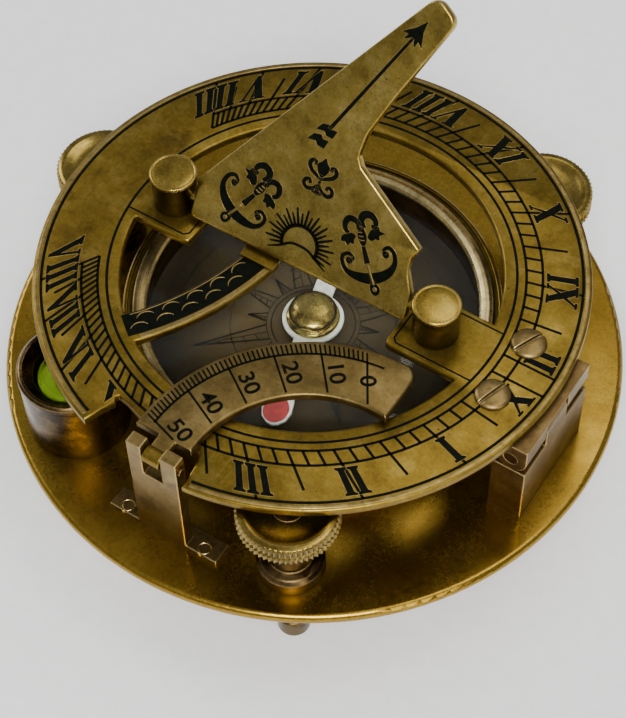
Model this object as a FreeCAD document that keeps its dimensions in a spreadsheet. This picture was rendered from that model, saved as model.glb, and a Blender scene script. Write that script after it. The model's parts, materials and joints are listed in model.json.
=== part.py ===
import FreeCAD, Part
import os
import Sketcher
from math import acos, asin, cos, pi, radians, sin
from FreeCAD import Placement, Rotation, Vector

# Brass sundial compass, millimetres. +Z is up and Z = 0 is the surface that the three feet stand on.
# The Z axis is the middle of the base plate and of the hour ring. +X points at the ring's hinge
# along the noon line; the latitude arc and its fork stand at -Y.

SIZES = {
    # base plate
    "plate_radius": 63.7, "plate_bottom": 22.5, "plate_thick": 2.5, "plate_round": 1.1,
    # levelling screws
    "level_circle": 52.2, "level_turn": -2.0, "stem_radius": 3.0, "stem_fit": 0.05,
    "boss_low_radius": 6.7, "boss_low_height": 4.2, "boss_top_radius": 5.2, "boss_height": 10.8,
    "knob_radius": 10.0, "knob_bottom": 42.4, "knob_height": 5.1, "knob_dish": 0.8,
    "knurl_depth": 0.45, "knurl_count": 40, "foot_radius": 3.3, "foot_height": 6.0,
    "ball_pin_radius": 1.8, "ball_pin_length": 3.0,
    # level
    "cup_x": -30.3, "cup_y": -40.3, "cup_radius": 10.6, "cup_height": 18.0, "cup_wall": 3.2,
    "vial_floor": 9.2, "vial_height": 7.3, "bubble_radius": 2.6, "bubble_flat": 0.9,
    # compass
    "box_radius": 38.2, "box_inner": 35.1, "box_top": 39.0, "card_level": 31.0, "card_thick": 0.8,
    "box_foot_radius": 33.0, "floor_thick": 1.5, "glass_thick": 1.0, "rim_width": 0.9,
    "rim_height": 1.0, "bezel_inner": 33.5, "bezel_outer": 36.6, "bezel_height": 1.4,
    "needle_level": 33.2, "needle_thick": 0.8, "needle_length": 27.2,
    "needle_half_width": 4.2, "needle_hub": 6.3, "needle_turn": -75.0, "cap_radius": 5.6,
    "cap_height": 3.6, "pivot_radius": 1.5, "pivot_height": 3.4,
    # hour ring
    "ring_top": 50.5, "ring_thick": 2.0, "ring_outer": 55.0, "ring_inner": 37.8, "ring_bevel": 0.7,
    "tab_half": 7.5, "tab_right_end": 21.2, "tab_left_end": -24.3, "tab_corner": 1.6,
    "notch_depth_radius": 46.4, "notch_from": -107.9, "notch_to": -82.8,
    "arm_centre_x": -67.0, "arm_centre_y": 6.0, "arm_outer": 61.3, "arm_inner": 54.4,
    "arm_root_y": -33.5, "arm_end_y": -2.0, "rest_height": 0.7,
    # gnomon and its posts
    "post_radius": 4.8, "post_height": 9.0, "post_left": -32.5, "post_right": 28.3,
    "spigot_radius": 2.0, "pivot_above_ring": 4.6, "gnomon_lean": 60.0, "gnomon_thick": 2.0,
    "trunnion_radius": 0.95, "trunnion_fit": 0.05, "trunnion_length": 3.0,
    "gnomon_left": -27.2, "gnomon_right": 22.6, "gnomon_low": -4.1, "gnomon_tip_round": 2.6,
    # hinge
    "hinge_x": 53.2, "hinge_below_ring": 6.0, "knuckle_radius": 3.3, "leaf_face": 56.5,
    "leaf_back": 49.9, "leaf_from": -13.8, "leaf_to": 10.2, "leaf_inner": 41.0, "leaf_thick": 2.0,
    "lug_from": -5.7, "lug_to": 2.1, "hinge_gap": 0.3, "hinge_pin": 1.5, "hinge_fit": 0.05,
    "ring_screw_x": 44.9, "ring_screw_y": 6.9, "ring_screw_head": 3.5, "ring_screw_high": 0.9,
    "ring_screw_shank": 1.5, "slot_width": 0.9,
    # latitude arc and fork
    "arc_x": 28.8, "arc_y": -47.0, "arc_outer": 36.1, "arc_inner": 23.8, "arc_thick": 2.0,
    "arc_above_ring": 0.5, "arc_end_x": 2.6, "arc_foot_y": -1.6, "fork_y": -52.7,
    "fork_left": -5.6, "fork_right": 5.4, "fork_thick": 2.6, "fork_top": 55.0,
    "slot_left": -2.5, "slot_right": 1.9, "slot_floor": 46.2, "fork_foot_left": -12.6,
    "fork_foot_right": 12.4, "fork_foot_wide": 4.6, "fork_foot_thick": 1.2,
    "arc_knuckle": 1.7, "arc_pin": 0.9, "arc_fit": 0.05, "arc_side_gap": 0.3,
    "way_outer": 1.1, "way_inner": 0.45,
    # screws under the base plate
    "under_head": 2.6, "under_high": 1.0, "under_shank": 1.2, "under_hole": 1.25,
}

doc = FreeCAD.newDocument("SundialCompass")
sheet = doc.addObject("Spreadsheet::Sheet", "Sizes")


class Size:
    """A size of the sheet, or a sum made of them: its value, and the expression that gives it."""

    def __init__(self, value, text):
        self.value = value
        self.text = text

    def __add__(self, other):
        other = size(other)
        return Size(self.value + other.value, "(%s + %s)" % (self.text, other.text))

    def __sub__(self, other):
        other = size(other)
        return Size(self.value - other.value, "(%s - %s)" % (self.text, other.text))

    def __mul__(self, other):
        other = size(other)
        return Size(self.value * other.value, "(%s * %s)" % (self.text, other.text))

    def __neg__(self):
        return Size(-self.value, "(0 - %s)" % self.text)


def size(thing):
    """A Size from a Size or from a plain number."""
    if isinstance(thing, Size):
        return thing
    return Size(float(thing), "%.6f" % thing)


def turned(radius, angle):
    """The x and y of a point at a radius and an angle in degrees about the Z axis."""
    radius = size(radius)
    angle = size(angle)
    x = Size(radius.value * cos(radians(angle.value)), "(%s * cos(%s))" % (radius.text, angle.text))
    y = Size(radius.value * sin(radians(angle.value)), "(%s * sin(%s))" % (radius.text, angle.text))
    return x, y


class Named:
    """The sizes of the sheet, each as an attribute."""


def fill_sheet():
    named = Named()
    for row, (alias, value) in enumerate(SIZES.items(), start=1):
        sheet.set("A%d" % row, alias.replace("_", " "))
        sheet.set("B%d" % row, repr(value))
        sheet.setAlias("B%d" % row, alias)
        setattr(named, alias, Size(float(value), "Sizes.%s" % alias))
    doc.recompute()
    return named


d = fill_sheet()
d.base_top = d.plate_bottom + d.plate_thick
d.ring_low = d.ring_top - d.ring_thick
d.pivot_level = d.ring_top + d.pivot_above_ring
d.hinge_level = d.ring_top - d.hinge_below_ring
d.arc_low = d.ring_top + d.arc_above_ring
d.arc_pin_level = d.arc_low + d.arc_thick * 0.5
LEVEL_ANGLES = (("front", -60), ("right", 60), ("left", 180))


# ---------------------------------------------------------------- helpers for bodies and sketches

def bind(thing, prop, amount):
    """Sets a property of an object from a size."""
    amount = size(amount)
    thing.setExpression(prop, amount.text)


def new_body(label, x=0.0, y=0.0, z=0.0, axis=None, angle=None):
    body = doc.addObject("PartDesign::Body", label)
    body.Label = label
    if axis is not None:
        body.Placement = Placement(Vector(), Rotation(axis, size(angle).value))
        bind(body, ".Placement.Rotation.Angle", angle)
    for letter, amount in (("x", x), ("y", y), ("z", z)):
        bind(body, ".Placement.Base.%s" % letter, amount)
    return body


def new_sketch(body, name, plane="XY_Plane", offset=0.0):
    sketch = body.newObject("Sketcher::SketchObject", body.Name + "_" + name)
    for feature in body.Origin.OriginFeatures:
        if feature.Role == plane:
            sketch.AttachmentSupport = [(feature, "")]
    sketch.MapMode = "FlatFace"
    bind(sketch, ".AttachmentOffset.Base.z", offset)
    return sketch


def fix(sketch, kind, geometry, point, amount):
    """Holds a point of the sketch at a distance from its origin along one direction."""
    amount = size(amount)
    number = sketch.addConstraint(Sketcher.Constraint(kind, -1, 1, geometry, point, amount.value))
    sketch.setExpression("Constraints[%d]" % number, amount.text)


def add_circle(sketch, x, y, radius):
    x, y, radius = size(x), size(y), size(radius)
    circle = Part.Circle(Vector(x.value, y.value, 0), Vector(0, 0, 1), radius.value)
    number = sketch.addGeometry(circle, False)
    fix(sketch, "DistanceX", number, 3, x)
    fix(sketch, "DistanceY", number, 3, y)
    held = sketch.addConstraint(Sketcher.Constraint("Radius", number, radius.value))
    sketch.setExpression("Constraints[%d]" % held, radius.text)


def add_polygon(sketch, points):
    """Closed straight-sided outline; every corner is held by its own two sizes."""
    points = [(size(x), size(y)) for x, y in points]
    first = sketch.GeometryCount
    count = len(points)
    for index in range(count):
        x1, y1 = points[index]
        x2, y2 = points[(index + 1) % count]
        line = Part.LineSegment(Vector(x1.value, y1.value, 0), Vector(x2.value, y2.value, 0))
        sketch.addGeometry(line, False)
    for index in range(count):
        following = first + (index + 1) % count
        sketch.addConstraint(Sketcher.Constraint("Coincident", first + index, 2, following, 1))
    for index, (x, y) in enumerate(points):
        fix(sketch, "DistanceX", first + index, 1, x)
        fix(sketch, "DistanceY", first + index, 1, y)


def add_rectangle(sketch, x1, x2, y1, y2):
    add_polygon(sketch, [(x1, y1), (x2, y1), (x2, y2), (x1, y2)])


def pad(body, sketch, length, midplane=False, reverse=False):
    feature = body.newObject("PartDesign::Pad", sketch.Name + "_Pad")
    feature.Profile = sketch
    bind(feature, "Length", length)
    feature.Midplane = midplane
    feature.Reversed = reverse
    sketch.Visibility = False
    doc.recompute()
    return feature


def pocket(body, sketch, length=None, reverse=False, midplane=False):
    """Cuts the sketch out of the body; with no length it cuts everything on both sides."""
    before = body.Shape.Volume
    feature = body.newObject("PartDesign::Pocket", sketch.Name + "_Pocket")
    feature.Profile = sketch
    if length is None:
        feature.Type = "ThroughAll"
        feature.Midplane = True
    else:
        bind(feature, "Length", length)
        feature.Midplane = midplane
        feature.Reversed = reverse
    doc.recompute()
    if body.Shape.Volume > before - 1e-3:
        raise RuntimeError("nothing cut by " + sketch.Name)
    return feature


def revolve(body, sketch):
    feature = body.newObject("PartDesign::Revolution", sketch.Name + "_Revolution")
    feature.Profile = sketch
    feature.ReferenceAxis = (sketch, ["V_Axis"])
    feature.Angle = 360.0
    doc.recompute()
    return feature


def pattern_round(body, feature, sketch, count):
    pattern = body.newObject("PartDesign::PolarPattern", feature.Name + "_Pattern")
    pattern.Originals = [feature]
    pattern.Axis = (sketch, ["N_Axis"])
    pattern.Angle = 360.0
    bind(pattern, "Occurrences", count)
    body.Tip = pattern
    doc.recompute()
    return pattern


def edges_where(body, test):
    """Names of the edges of a body's newest feature whose middle point passes the test."""
    names = []
    shape = body.Tip.Shape
    for index, edge in enumerate(shape.Edges, start=1):
        first, last = edge.ParameterRange
        if test(edge, edge.valueAt(0.5 * (first + last))):
            names.append("Edge%d" % index)
    return names


def round_edges(body, test, radius, kind="Fillet"):
    names = edges_where(body, test)
    if not names:
        raise RuntimeError("no edge to round on " + body.Name)
    base = body.Tip
    feature = body.newObject("PartDesign::" + kind, base.Name + "_" + kind)
    feature.Base = (base, names)
    bind(feature, "Radius" if kind == "Fillet" else "Size", radius)
    doc.recompute()
    return feature


def circle_edge(radius, level, margin=0.01):
    """A test for round edges of one radius at one height above the body's own origin."""
    def test(edge, middle):
        if not isinstance(edge.Curve, Part.Circle):
            return False
        return abs(edge.Curve.Radius - radius) < margin and abs(middle.z - level) < margin
    return test


def turned_body(label, profile, **place):
    body = new_body(label, **place)
    sketch = new_sketch(body, "profile", "XZ_Plane")
    add_polygon(sketch, profile)
    revolve(body, sketch)
    return body


def group(label, shapes):
    """Identical fasteners, kept as one sub-part of separate solids."""
    part = doc.addObject("Part::Feature", label)
    part.Label = label
    part.Shape = Part.Compound(shapes)
    part.Placement = Placement()
    return part


# ---------------------------------------------------------------- base

def level_place(angle):
    return turned(d.level_circle, d.level_turn + angle)


def under_screw_places():
    """Where the slotted screws under the base plate hold fork, hinge, level and compass."""
    fork = [(d.fork_left * 1.65, d.fork_y), (d.fork_right * 1.65, d.fork_y)]
    hinge = [(d.hinge_x, d.leaf_from + 4.0), (d.hinge_x, d.leaf_to - 4.0)]
    cup = [(d.cup_x, d.cup_y)]
    box_circle = (d.box_foot_radius + d.box_radius) * 0.5
    box = [turned(box_circle, angle) for angle in (40, 160, 280)]
    return fork + hinge + cup + box


def base_plate():
    body = new_body("base_plate", z=d.plate_bottom)
    outline = new_sketch(body, "outline")
    add_circle(outline, 0, 0, d.plate_radius)
    pad(body, outline, d.plate_thick)
    rims = (circle_edge(d.plate_radius.value, 0.0), circle_edge(d.plate_radius.value, d.plate_thick.value))
    round_edges(body, lambda edge, middle: any(rim(edge, middle) for rim in rims), d.plate_round)
    holes = new_sketch(body, "holes")
    for _, angle in LEVEL_ANGLES:
        x, y = level_place(angle)
        add_circle(holes, x, y, d.stem_radius + 0.2)
    for x, y in under_screw_places():
        add_circle(holes, x, y, d.under_hole)
    pocket(body, holes)
    return body


def under_screws():
    """Slotted screws with their heads under the base plate."""
    shapes = []
    length = d.plate_thick.value + d.fork_foot_thick.value
    for x, y in under_screw_places():
        bottom = Vector(x.value, y.value, d.plate_bottom.value - d.under_high.value)
        head = Part.makeCylinder(d.under_head.value, d.under_high.value, bottom)
        shank_start = Vector(x.value, y.value, d.plate_bottom.value)
        shank = Part.makeCylinder(d.under_shank.value, length, shank_start)
        wide = 3 * d.under_head.value
        corner = bottom - Vector(0.5 * wide, 0.5 * d.slot_width.value, 0)
        slot = Part.makeBox(wide, d.slot_width.value, 0.5 * d.under_high.value, corner)
        shapes.append(head.fuse(shank).cut(slot).removeSplitter())
    return group("under_screws", shapes)


def level_boss(side, angle):
    x, y = level_place(angle)
    bore = d.stem_radius + d.stem_fit
    neck = d.boss_top_radius - 0.9
    profile = [
        (bore, 0), (d.boss_low_radius, 0), (d.boss_low_radius, d.boss_low_height - 0.8),
        (d.boss_low_radius - 0.8, d.boss_low_height), (neck, d.boss_low_height + 0.5),
        (neck, d.boss_low_height + 2.2), (d.boss_top_radius, d.boss_low_height + 3.0),
        (d.boss_top_radius, d.boss_height - 0.5), (d.boss_top_radius - 0.5, d.boss_height),
        (bore, d.boss_height),
    ]
    return turned_body("level_boss_" + side, profile, x=x, y=y, z=d.base_top)


def level_knob(side, angle):
    """Knurled knob: two knurled bands with a groove between them and a dished top."""
    x, y = level_place(angle)
    top = d.knob_height
    outer = d.knob_radius
    half = d.knob_height * 0.5
    profile = [
        (d.stem_radius, 0), (outer - 1.6, 0), (outer, 0.7), (outer, half - 0.6), (outer - 0.8, half),
        (outer, half + 0.6), (outer, top - 0.5), (outer - 0.9, top), (outer - 2.0, top - 0.1),
        (outer - 3.6, top - d.knob_dish), (d.stem_radius, top - d.knob_dish),
    ]
    body = turned_body("level_knob_" + side, profile, x=x, y=y, z=d.knob_bottom)
    sketch = new_sketch(body, "knurl")
    valley = d.knob_radius - d.knurl_depth
    rim = d.knob_radius + 0.3
    half_wide = d.knurl_depth
    add_polygon(sketch, [(valley, 0), (rim, half_wide), (rim, -half_wide)])
    cut = pocket(body, sketch)
    pattern_round(body, cut, sketch, d.knurl_count)
    return body


def level_screw(side, angle):
    x, y = level_place(angle)
    start = d.foot_height - d.ball_pin_length
    top = d.knob_bottom + d.knob_height - d.knob_dish - start
    stem = d.stem_radius
    shoulder = d.ball_pin_length + 0.05
    profile = [
        (0, 0), (d.ball_pin_radius, 0), (d.ball_pin_radius, shoulder), (stem - 0.5, shoulder),
        (stem, shoulder + 0.5), (stem, top), (0, top),
    ]
    return turned_body("level_screw_" + side, profile, x=x, y=y, z=start)


def level_foot(side, angle):
    x, y = level_place(angle)
    floor = d.foot_height - d.ball_pin_length - 0.05
    bore = d.ball_pin_radius + 0.05
    outer = d.foot_radius
    profile = [
        (0, 0), (outer - 1.4, 0), (outer - 0.5, 0.5), (outer, 1.5), (outer, d.foot_height - 0.4),
        (outer - 0.4, d.foot_height), (bore, d.foot_height), (bore, floor), (0, floor),
    ]
    return turned_body("level_foot_" + side, profile, x=x, y=y)


def level_cup():
    outer = d.cup_radius
    inner = outer - d.cup_wall
    top = d.cup_height
    profile = [
        (d.under_hole, 0), (outer - 0.2, 0), (outer - 0.2, top - 2.2), (outer, top - 1.7),
        (outer, top - 0.5), (outer - 0.5, top), (outer - 1.1, top), (inner, top - 1.7),
        (inner, d.vial_floor), (d.under_hole, d.vial_floor),
    ]
    return turned_body("level_cup", profile, x=d.cup_x, y=d.cup_y, z=d.base_top)


def level_vial():
    """Glass vial of the level, hollow for the fluid."""
    outer = d.cup_radius - d.cup_wall
    top = d.vial_height
    profile = [
        (0, 0), (outer, 0), (outer, top - 1.2), (outer - 1.6, top - 0.3), (0, top), (0, top - 1.2),
        (outer - 2.0, top - 1.5), (outer - 0.9, top - 2.2), (outer - 0.9, 0.8), (0, 0.8),
    ]
    return turned_body("level_vial", profile, x=d.cup_x, y=d.cup_y, z=d.base_top + d.vial_floor)


def bubble_solid():
    """Flattened air bubble, in the frame of the whole object."""
    ball = Part.makeSphere(1.0)
    stretch = FreeCAD.Matrix()
    stretch.scale(d.bubble_radius.value, d.bubble_radius.value, d.bubble_flat.value)
    bubble = ball.transformGeometry(stretch)
    top = d.base_top.value + d.vial_floor.value + d.vial_height.value - 1.7
    bubble.translate(Vector(d.cup_x.value + 2.0, d.cup_y.value - 1.5, top - d.bubble_flat.value))
    return bubble


def level_fluid_and_bubble():
    outer = d.cup_radius - d.cup_wall - 0.9
    floor = d.base_top + d.vial_floor + 0.8
    profile = [(0, 0), (outer, 0), (outer, d.vial_height - 3.0), (outer - 1.1, d.vial_height - 2.3),
               (0, d.vial_height - 2.0)]
    whole = turned_body("fluid_blank", profile, x=d.cup_x, y=d.cup_y, z=floor)
    bubble = group("level_bubble", [bubble_solid()])
    fluid = doc.addObject("Part::Cut", "level_fluid")
    fluid.Label = "level_fluid"
    fluid.Base = whole
    fluid.Tool = bubble
    doc.recompute()
    return [fluid, bubble]


# ---------------------------------------------------------------- compass

def compass_box():
    """Turned wall of the compass: a ledge for floor and card inside, a thin raised rim on top."""
    ledge = d.card_level - d.base_top
    top = d.box_top - d.base_top
    outer = d.box_radius
    rim = outer - d.rim_width
    profile = [
        (d.box_foot_radius, 0), (outer, 0), (outer, top + d.rim_height - 0.3),
        (outer - 0.3, top + d.rim_height),
        (rim, top + d.rim_height), (rim, top), (d.box_inner, top), (d.box_inner, ledge),
        (d.box_foot_radius, ledge),
    ]
    body = turned_body("compass_box", profile, z=d.base_top)
    holes = new_sketch(body, "screw_holes")
    for x, y in under_screw_places()[-3:]:
        add_circle(holes, x, y, d.under_hole)
    pocket(body, holes, d.fork_foot_thick, reverse=True)
    return body


def compass_floor():
    """Disc that closes the compass below the dial card."""
    radius = d.box_foot_radius
    profile = [(0, 0), (radius, 0), (radius, d.floor_thick), (0, d.floor_thick)]
    return turned_body("compass_floor", profile, z=d.card_level - d.floor_thick)


def compass_bezel():
    inner = d.bezel_inner
    outer = d.bezel_outer
    high = d.bezel_height
    profile = [
        (inner, 0), (outer, 0), (outer, 0.5), (outer - 0.5, high - 0.2), (outer - 1.2, high),
        (inner + 1.2, high), (inner + 0.4, high - 0.3), (inner, 0.5),
    ]
    return turned_body("compass_bezel", profile, z=d.box_top)


def compass_glass():
    thick = d.glass_thick
    profile = [(0, 0), (d.box_inner, 0), (d.box_inner, thick), (0, thick)]
    return turned_body("compass_glass", profile, z=d.box_top - thick)


def glass_seat():
    """Ring that carries the glass above the dial card."""
    high = d.box_top - d.glass_thick - d.card_level - d.card_thick
    inner = d.box_inner - 1.0
    profile = [(inner, 0), (d.box_inner, 0), (d.box_inner, high), (inner, high)]
    return turned_body("glass_seat", profile, z=d.card_level + d.card_thick)


def dial_card():
    profile = [(0, 0), (d.box_inner, 0), (d.box_inner, d.card_thick), (0, d.card_thick)]
    return turned_body("dial_card", profile, z=d.card_level)


def needle_pivot():
    radius = d.pivot_radius
    profile = [(0, 0), (radius, 0), (radius, 0.5), (0.5, 1.2), (0.5, 2.4),
               (0.1, d.pivot_height), (0, d.pivot_height)]
    return turned_body("needle_pivot", profile, z=d.card_level + d.card_thick)


def compass_needle():
    body = new_body("compass_needle", z=d.needle_level, axis=Vector(0, 0, 1), angle=d.needle_turn)
    length = d.needle_length
    half = d.needle_half_width
    blade = new_sketch(body, "blade")
    add_polygon(blade, [(length, 0), (length * 0.72, half), (0, half * 0.9), (-length * 0.72, half),
                        (-length, 0), (-length * 0.72, -half), (0, -half * 0.9), (length * 0.72, -half)])
    pad(body, blade, d.needle_thick)
    hub = new_sketch(body, "hub")
    add_circle(hub, 0, 0, d.needle_hub)
    pad(body, hub, d.needle_thick)
    hole = new_sketch(body, "hole")
    add_circle(hole, 0, 0, d.pivot_radius)
    pocket(body, hole)
    return body


def needle_cap():
    """Turned brass cap in the middle of the needle, with the hollow that turns on the pivot."""
    low = d.needle_thick
    outer = d.cap_radius
    high = d.cap_height
    profile = [
        (1.3, 0), (outer, 0), (outer, 0.8), (outer - 0.5, 1.2), (outer - 0.5, high - 1.0),
        (outer - 1.3, high - 0.2), (outer - 2.4, high), (0, high), (0, high - 1.9), (0.9, high - 2.8),
    ]
    return turned_body("needle_cap", profile, z=d.needle_level + low)


# ---------------------------------------------------------------- hour ring

def add_band(sketch, centre_x, centre_y, radii, ends):
    """Curved strip: two arcs about one centre, cut straight at both ends.

    ends gives, for the first and last end turning anticlockwise, the direction that holds it,
    the size that it is held at, and whether it is left of the centre.
    """
    centre = Vector(centre_x.value, centre_y.value, 0)
    arcs = []
    for radius in radii:
        angles = []
        for kind, amount, is_left in ends:
            if kind == "DistanceY":
                angle = asin((amount.value - centre.y) / radius.value)
                angles.append(pi - angle if is_left else angle)
            else:
                angles.append(acos((amount.value - centre.x) / radius.value))
        circle = Part.Circle(centre, Vector(0, 0, 1), radius.value)
        number = sketch.addGeometry(Part.ArcOfCircle(circle, *angles), False)
        fix(sketch, "DistanceX", number, 3, centre_x)
        fix(sketch, "DistanceY", number, 3, centre_y)
        held = sketch.addConstraint(Sketcher.Constraint("Radius", number, radius.value))
        sketch.setExpression("Constraints[%d]" % held, radius.text)
        for point, (kind, amount, _) in enumerate(ends, start=1):
            fix(sketch, kind, number, point, amount)
        arcs.append(number)
    outer, inner = arcs
    for point in (1, 2):
        line = Part.LineSegment(sketch.getPoint(outer, point), sketch.getPoint(inner, point))
        number = sketch.addGeometry(line, False)
        sketch.addConstraint(Sketcher.Constraint("Coincident", number, 1, outer, point))
        sketch.addConstraint(Sketcher.Constraint("Coincident", number, 2, inner, point))


def add_tab(sketch, end, root):
    """Tongue that reaches inwards along the noon line, with its two free corners cut off."""
    half = d.tab_half
    cut = d.tab_corner if root.value > end.value else -d.tab_corner
    add_polygon(sketch, [(root, -half), (end + cut, -half), (end, -half + d.tab_corner),
                         (end, half - d.tab_corner), (end + cut, half), (root, half)])


def hour_ring():
    body = new_body("hour_ring", z=d.ring_low)
    band = new_sketch(body, "band")
    add_circle(band, 0, 0, d.ring_outer)
    add_circle(band, 0, 0, d.ring_inner)
    pad(body, band, d.ring_thick)
    for name, end, sign in (("right_tab", d.tab_right_end, 1), ("left_tab", d.tab_left_end, -1)):
        tab = new_sketch(body, name)
        add_tab(tab, end, (d.ring_inner + 2.0) * sign)
        pad(body, tab, d.ring_thick)
    arm = new_sketch(body, "arm")
    ends = (("DistanceY", d.arm_root_y, False), ("DistanceY", d.arm_end_y, False))
    add_band(arm, d.arm_centre_x, d.arm_centre_y, (d.arm_outer, d.arm_inner), ends)
    pad(body, arm, d.ring_thick)
    rim = circle_edge(d.ring_outer.value, d.ring_thick.value)
    round_edges(body, rim, d.ring_bevel, "Chamfer")
    notch = new_sketch(body, "notch")
    near, far = d.notch_depth_radius, d.ring_outer * 1.2
    middle = (d.notch_from + d.notch_to) * 0.5
    add_polygon(notch, [turned(near, d.notch_from), turned(far, d.notch_from), turned(far * 1.05, middle),
                        turned(far, d.notch_to), turned(near, d.notch_to), turned(near, middle)])
    pocket(body, notch)
    way = new_sketch(body, "way_for_arc")
    ends = (("DistanceX", d.arc_x + d.arc_end_x + d.way_inner, False),
            ("DistanceY", d.arc_y + d.arc_foot_y, True))
    add_band(way, d.arc_x, d.arc_y, (d.arc_outer + d.way_outer, d.arc_inner - d.way_inner), ends)
    pocket(body, way)
    holes = new_sketch(body, "holes")
    for x in (d.post_left, d.post_right):
        add_circle(holes, x, 0, d.spigot_radius)
    for sign in (1, -1):
        add_circle(holes, d.ring_screw_x, d.ring_screw_y * sign, d.ring_screw_shank)
    pocket(body, holes)
    return body


def arm_rest():
    """Small block on the end of the arm, just clear of the gnomon's lower edge."""
    body = new_body("arm_rest", z=d.ring_top)
    sketch = new_sketch(body, "outline")
    end = d.arm_end_y
    left = d.arm_centre_x + d.arm_inner - 1.2
    right = d.arm_centre_x + d.arm_outer - 0.4
    add_rectangle(sketch, left, right, end - 2.8, end)
    pad(body, sketch, d.rest_height)
    return body


def gnomon_post(side, x, inward):
    """Post with a spigot through the ring's tongue and a side hole for the gnomon's trunnion."""
    profile = [
        (0, 0), (d.spigot_radius, 0), (d.spigot_radius, d.ring_thick), (d.post_radius - 0.5, d.ring_thick),
        (d.post_radius - 0.2, d.ring_thick + 0.7), (d.post_radius - 0.2, d.ring_thick + d.post_height - 1.2),
        (d.post_radius, d.ring_thick + d.post_height - 0.9),
        (d.post_radius, d.ring_thick + d.post_height - 0.4),
        (d.post_radius - 0.5, d.ring_thick + d.post_height), (0, d.ring_thick + d.post_height),
    ]
    body = turned_body("gnomon_post_" + side, profile, x=x, z=d.ring_low)
    bore = new_sketch(body, "trunnion_hole", "YZ_Plane")
    add_circle(bore, 0, d.ring_thick + d.pivot_above_ring, d.trunnion_radius + d.trunnion_fit)
    pocket(body, bore, d.post_radius + 0.5, reverse=inward > 0)
    return body


def gnomon():
    """Shaped plate that turns on two trunnions; its straight long edge throws the shadow."""
    body = new_body("gnomon", z=d.pivot_level, axis=Vector(1, 0, 0), angle=d.gnomon_lean)
    plate = new_sketch(body, "plate")
    low, right = d.gnomon_low, d.gnomon_right
    add_polygon(plate, [
        (d.gnomon_left, low), (right, low + 0.5), (right - 0.3, 2.6), (right - 2.0, 5.4),
        (right - 2.4, 9.6), (right - 1.2, 11.4), (5.2, 21.6), (3.9, 23.6), (4.3, 28.2), (7.6, 37.4),
        (14.8, 55.2), (9.6, 58.4), (d.gnomon_left, 4.6),
    ])
    pad(body, plate, d.gnomon_thick, midplane=True)

    def at_tip(edge, middle):
        return middle.y > 50 and abs(middle.z) < 0.1
    round_edges(body, at_tip, d.gnomon_tip_round)
    reach = d.trunnion_length
    for name, start, way in (("left", d.gnomon_left, -1), ("right", right, 1)):
        trunnion = new_sketch(body, name + "_trunnion", "YZ_Plane", start - 1.0 * way)
        add_circle(trunnion, 0, 0, d.trunnion_radius)
        pad(body, trunnion, reach, reverse=way < 0)
    return body


# ---------------------------------------------------------------- hinge of the ring

def hinge_upper_leaf():
    """Leaf under the ring, with a knuckle at each end of the hinge."""
    body = new_body("hinge_upper_leaf")
    low = d.ring_low - d.leaf_thick
    plate = new_sketch(body, "plate", offset=low)
    add_rectangle(plate, d.leaf_inner, d.leaf_face, d.leaf_from, d.leaf_to)
    pad(body, plate, d.leaf_thick)
    ends = ((d.leaf_from, d.lug_from - d.hinge_gap), (d.lug_to + d.hinge_gap, d.leaf_to))
    for number, (start, end) in enumerate(ends):
        block = new_sketch(body, "block%d" % number, offset=d.hinge_level)
        add_rectangle(block, d.leaf_back, d.leaf_face, start, end)
        pad(body, block, low - d.hinge_level)
        knuckle = new_sketch(body, "knuckle%d" % number, "XZ_Plane", -end)
        add_circle(knuckle, d.hinge_x, d.hinge_level, d.knuckle_radius)
        pad(body, knuckle, end - start)
    gap = new_sketch(body, "lug_gap", offset=low - 1.0)
    add_rectangle(gap, d.leaf_back - 0.6, d.leaf_face + 1.0, d.lug_from - d.hinge_gap, d.lug_to + d.hinge_gap)
    pocket(body, gap, d.leaf_thick + 0.5, reverse=True)
    bore = new_sketch(body, "bore", "XZ_Plane")
    add_circle(bore, d.hinge_x, d.hinge_level, d.hinge_pin + d.hinge_fit)
    pocket(body, bore)
    screws = new_sketch(body, "screw_holes", offset=low)
    for sign in (1, -1):
        add_circle(screws, d.ring_screw_x, d.ring_screw_y * sign, d.ring_screw_shank)
    pocket(body, screws)
    return body


def hinge_lower_leaf():
    """Block on the base plate with the hinge's middle lug."""
    body = new_body("hinge_lower_leaf")
    top = d.hinge_level - d.knuckle_radius - 0.4
    block = new_sketch(body, "block", offset=d.base_top)
    add_rectangle(block, d.leaf_back - 0.6, d.leaf_face, d.leaf_from, d.leaf_to)
    pad(body, block, top - d.base_top)
    neck = new_sketch(body, "neck", offset=top)
    add_rectangle(neck, d.leaf_back, d.leaf_face, d.lug_from, d.lug_to)
    pad(body, neck, d.hinge_level - top)
    lug = new_sketch(body, "lug", "XZ_Plane", -d.lug_to)
    add_circle(lug, d.hinge_x, d.hinge_level, d.knuckle_radius)
    pad(body, lug, d.lug_to - d.lug_from)
    bore = new_sketch(body, "bore", "XZ_Plane")
    add_circle(bore, d.hinge_x, d.hinge_level, d.hinge_pin)
    pocket(body, bore)
    holes = new_sketch(body, "screw_holes", offset=d.base_top)
    for x, y in under_screw_places()[2:4]:
        add_circle(holes, x, y, d.under_hole)
    pocket(body, holes, d.fork_foot_thick, reverse=True)
    return body


def hinge_pin():
    body = new_body("hinge_pin", x=d.hinge_x, z=d.hinge_level)
    sketch = new_sketch(body, "round", "XZ_Plane", -d.leaf_to)
    add_circle(sketch, 0, 0, d.hinge_pin)
    pad(body, sketch, d.leaf_to - d.leaf_from)
    return body


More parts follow.
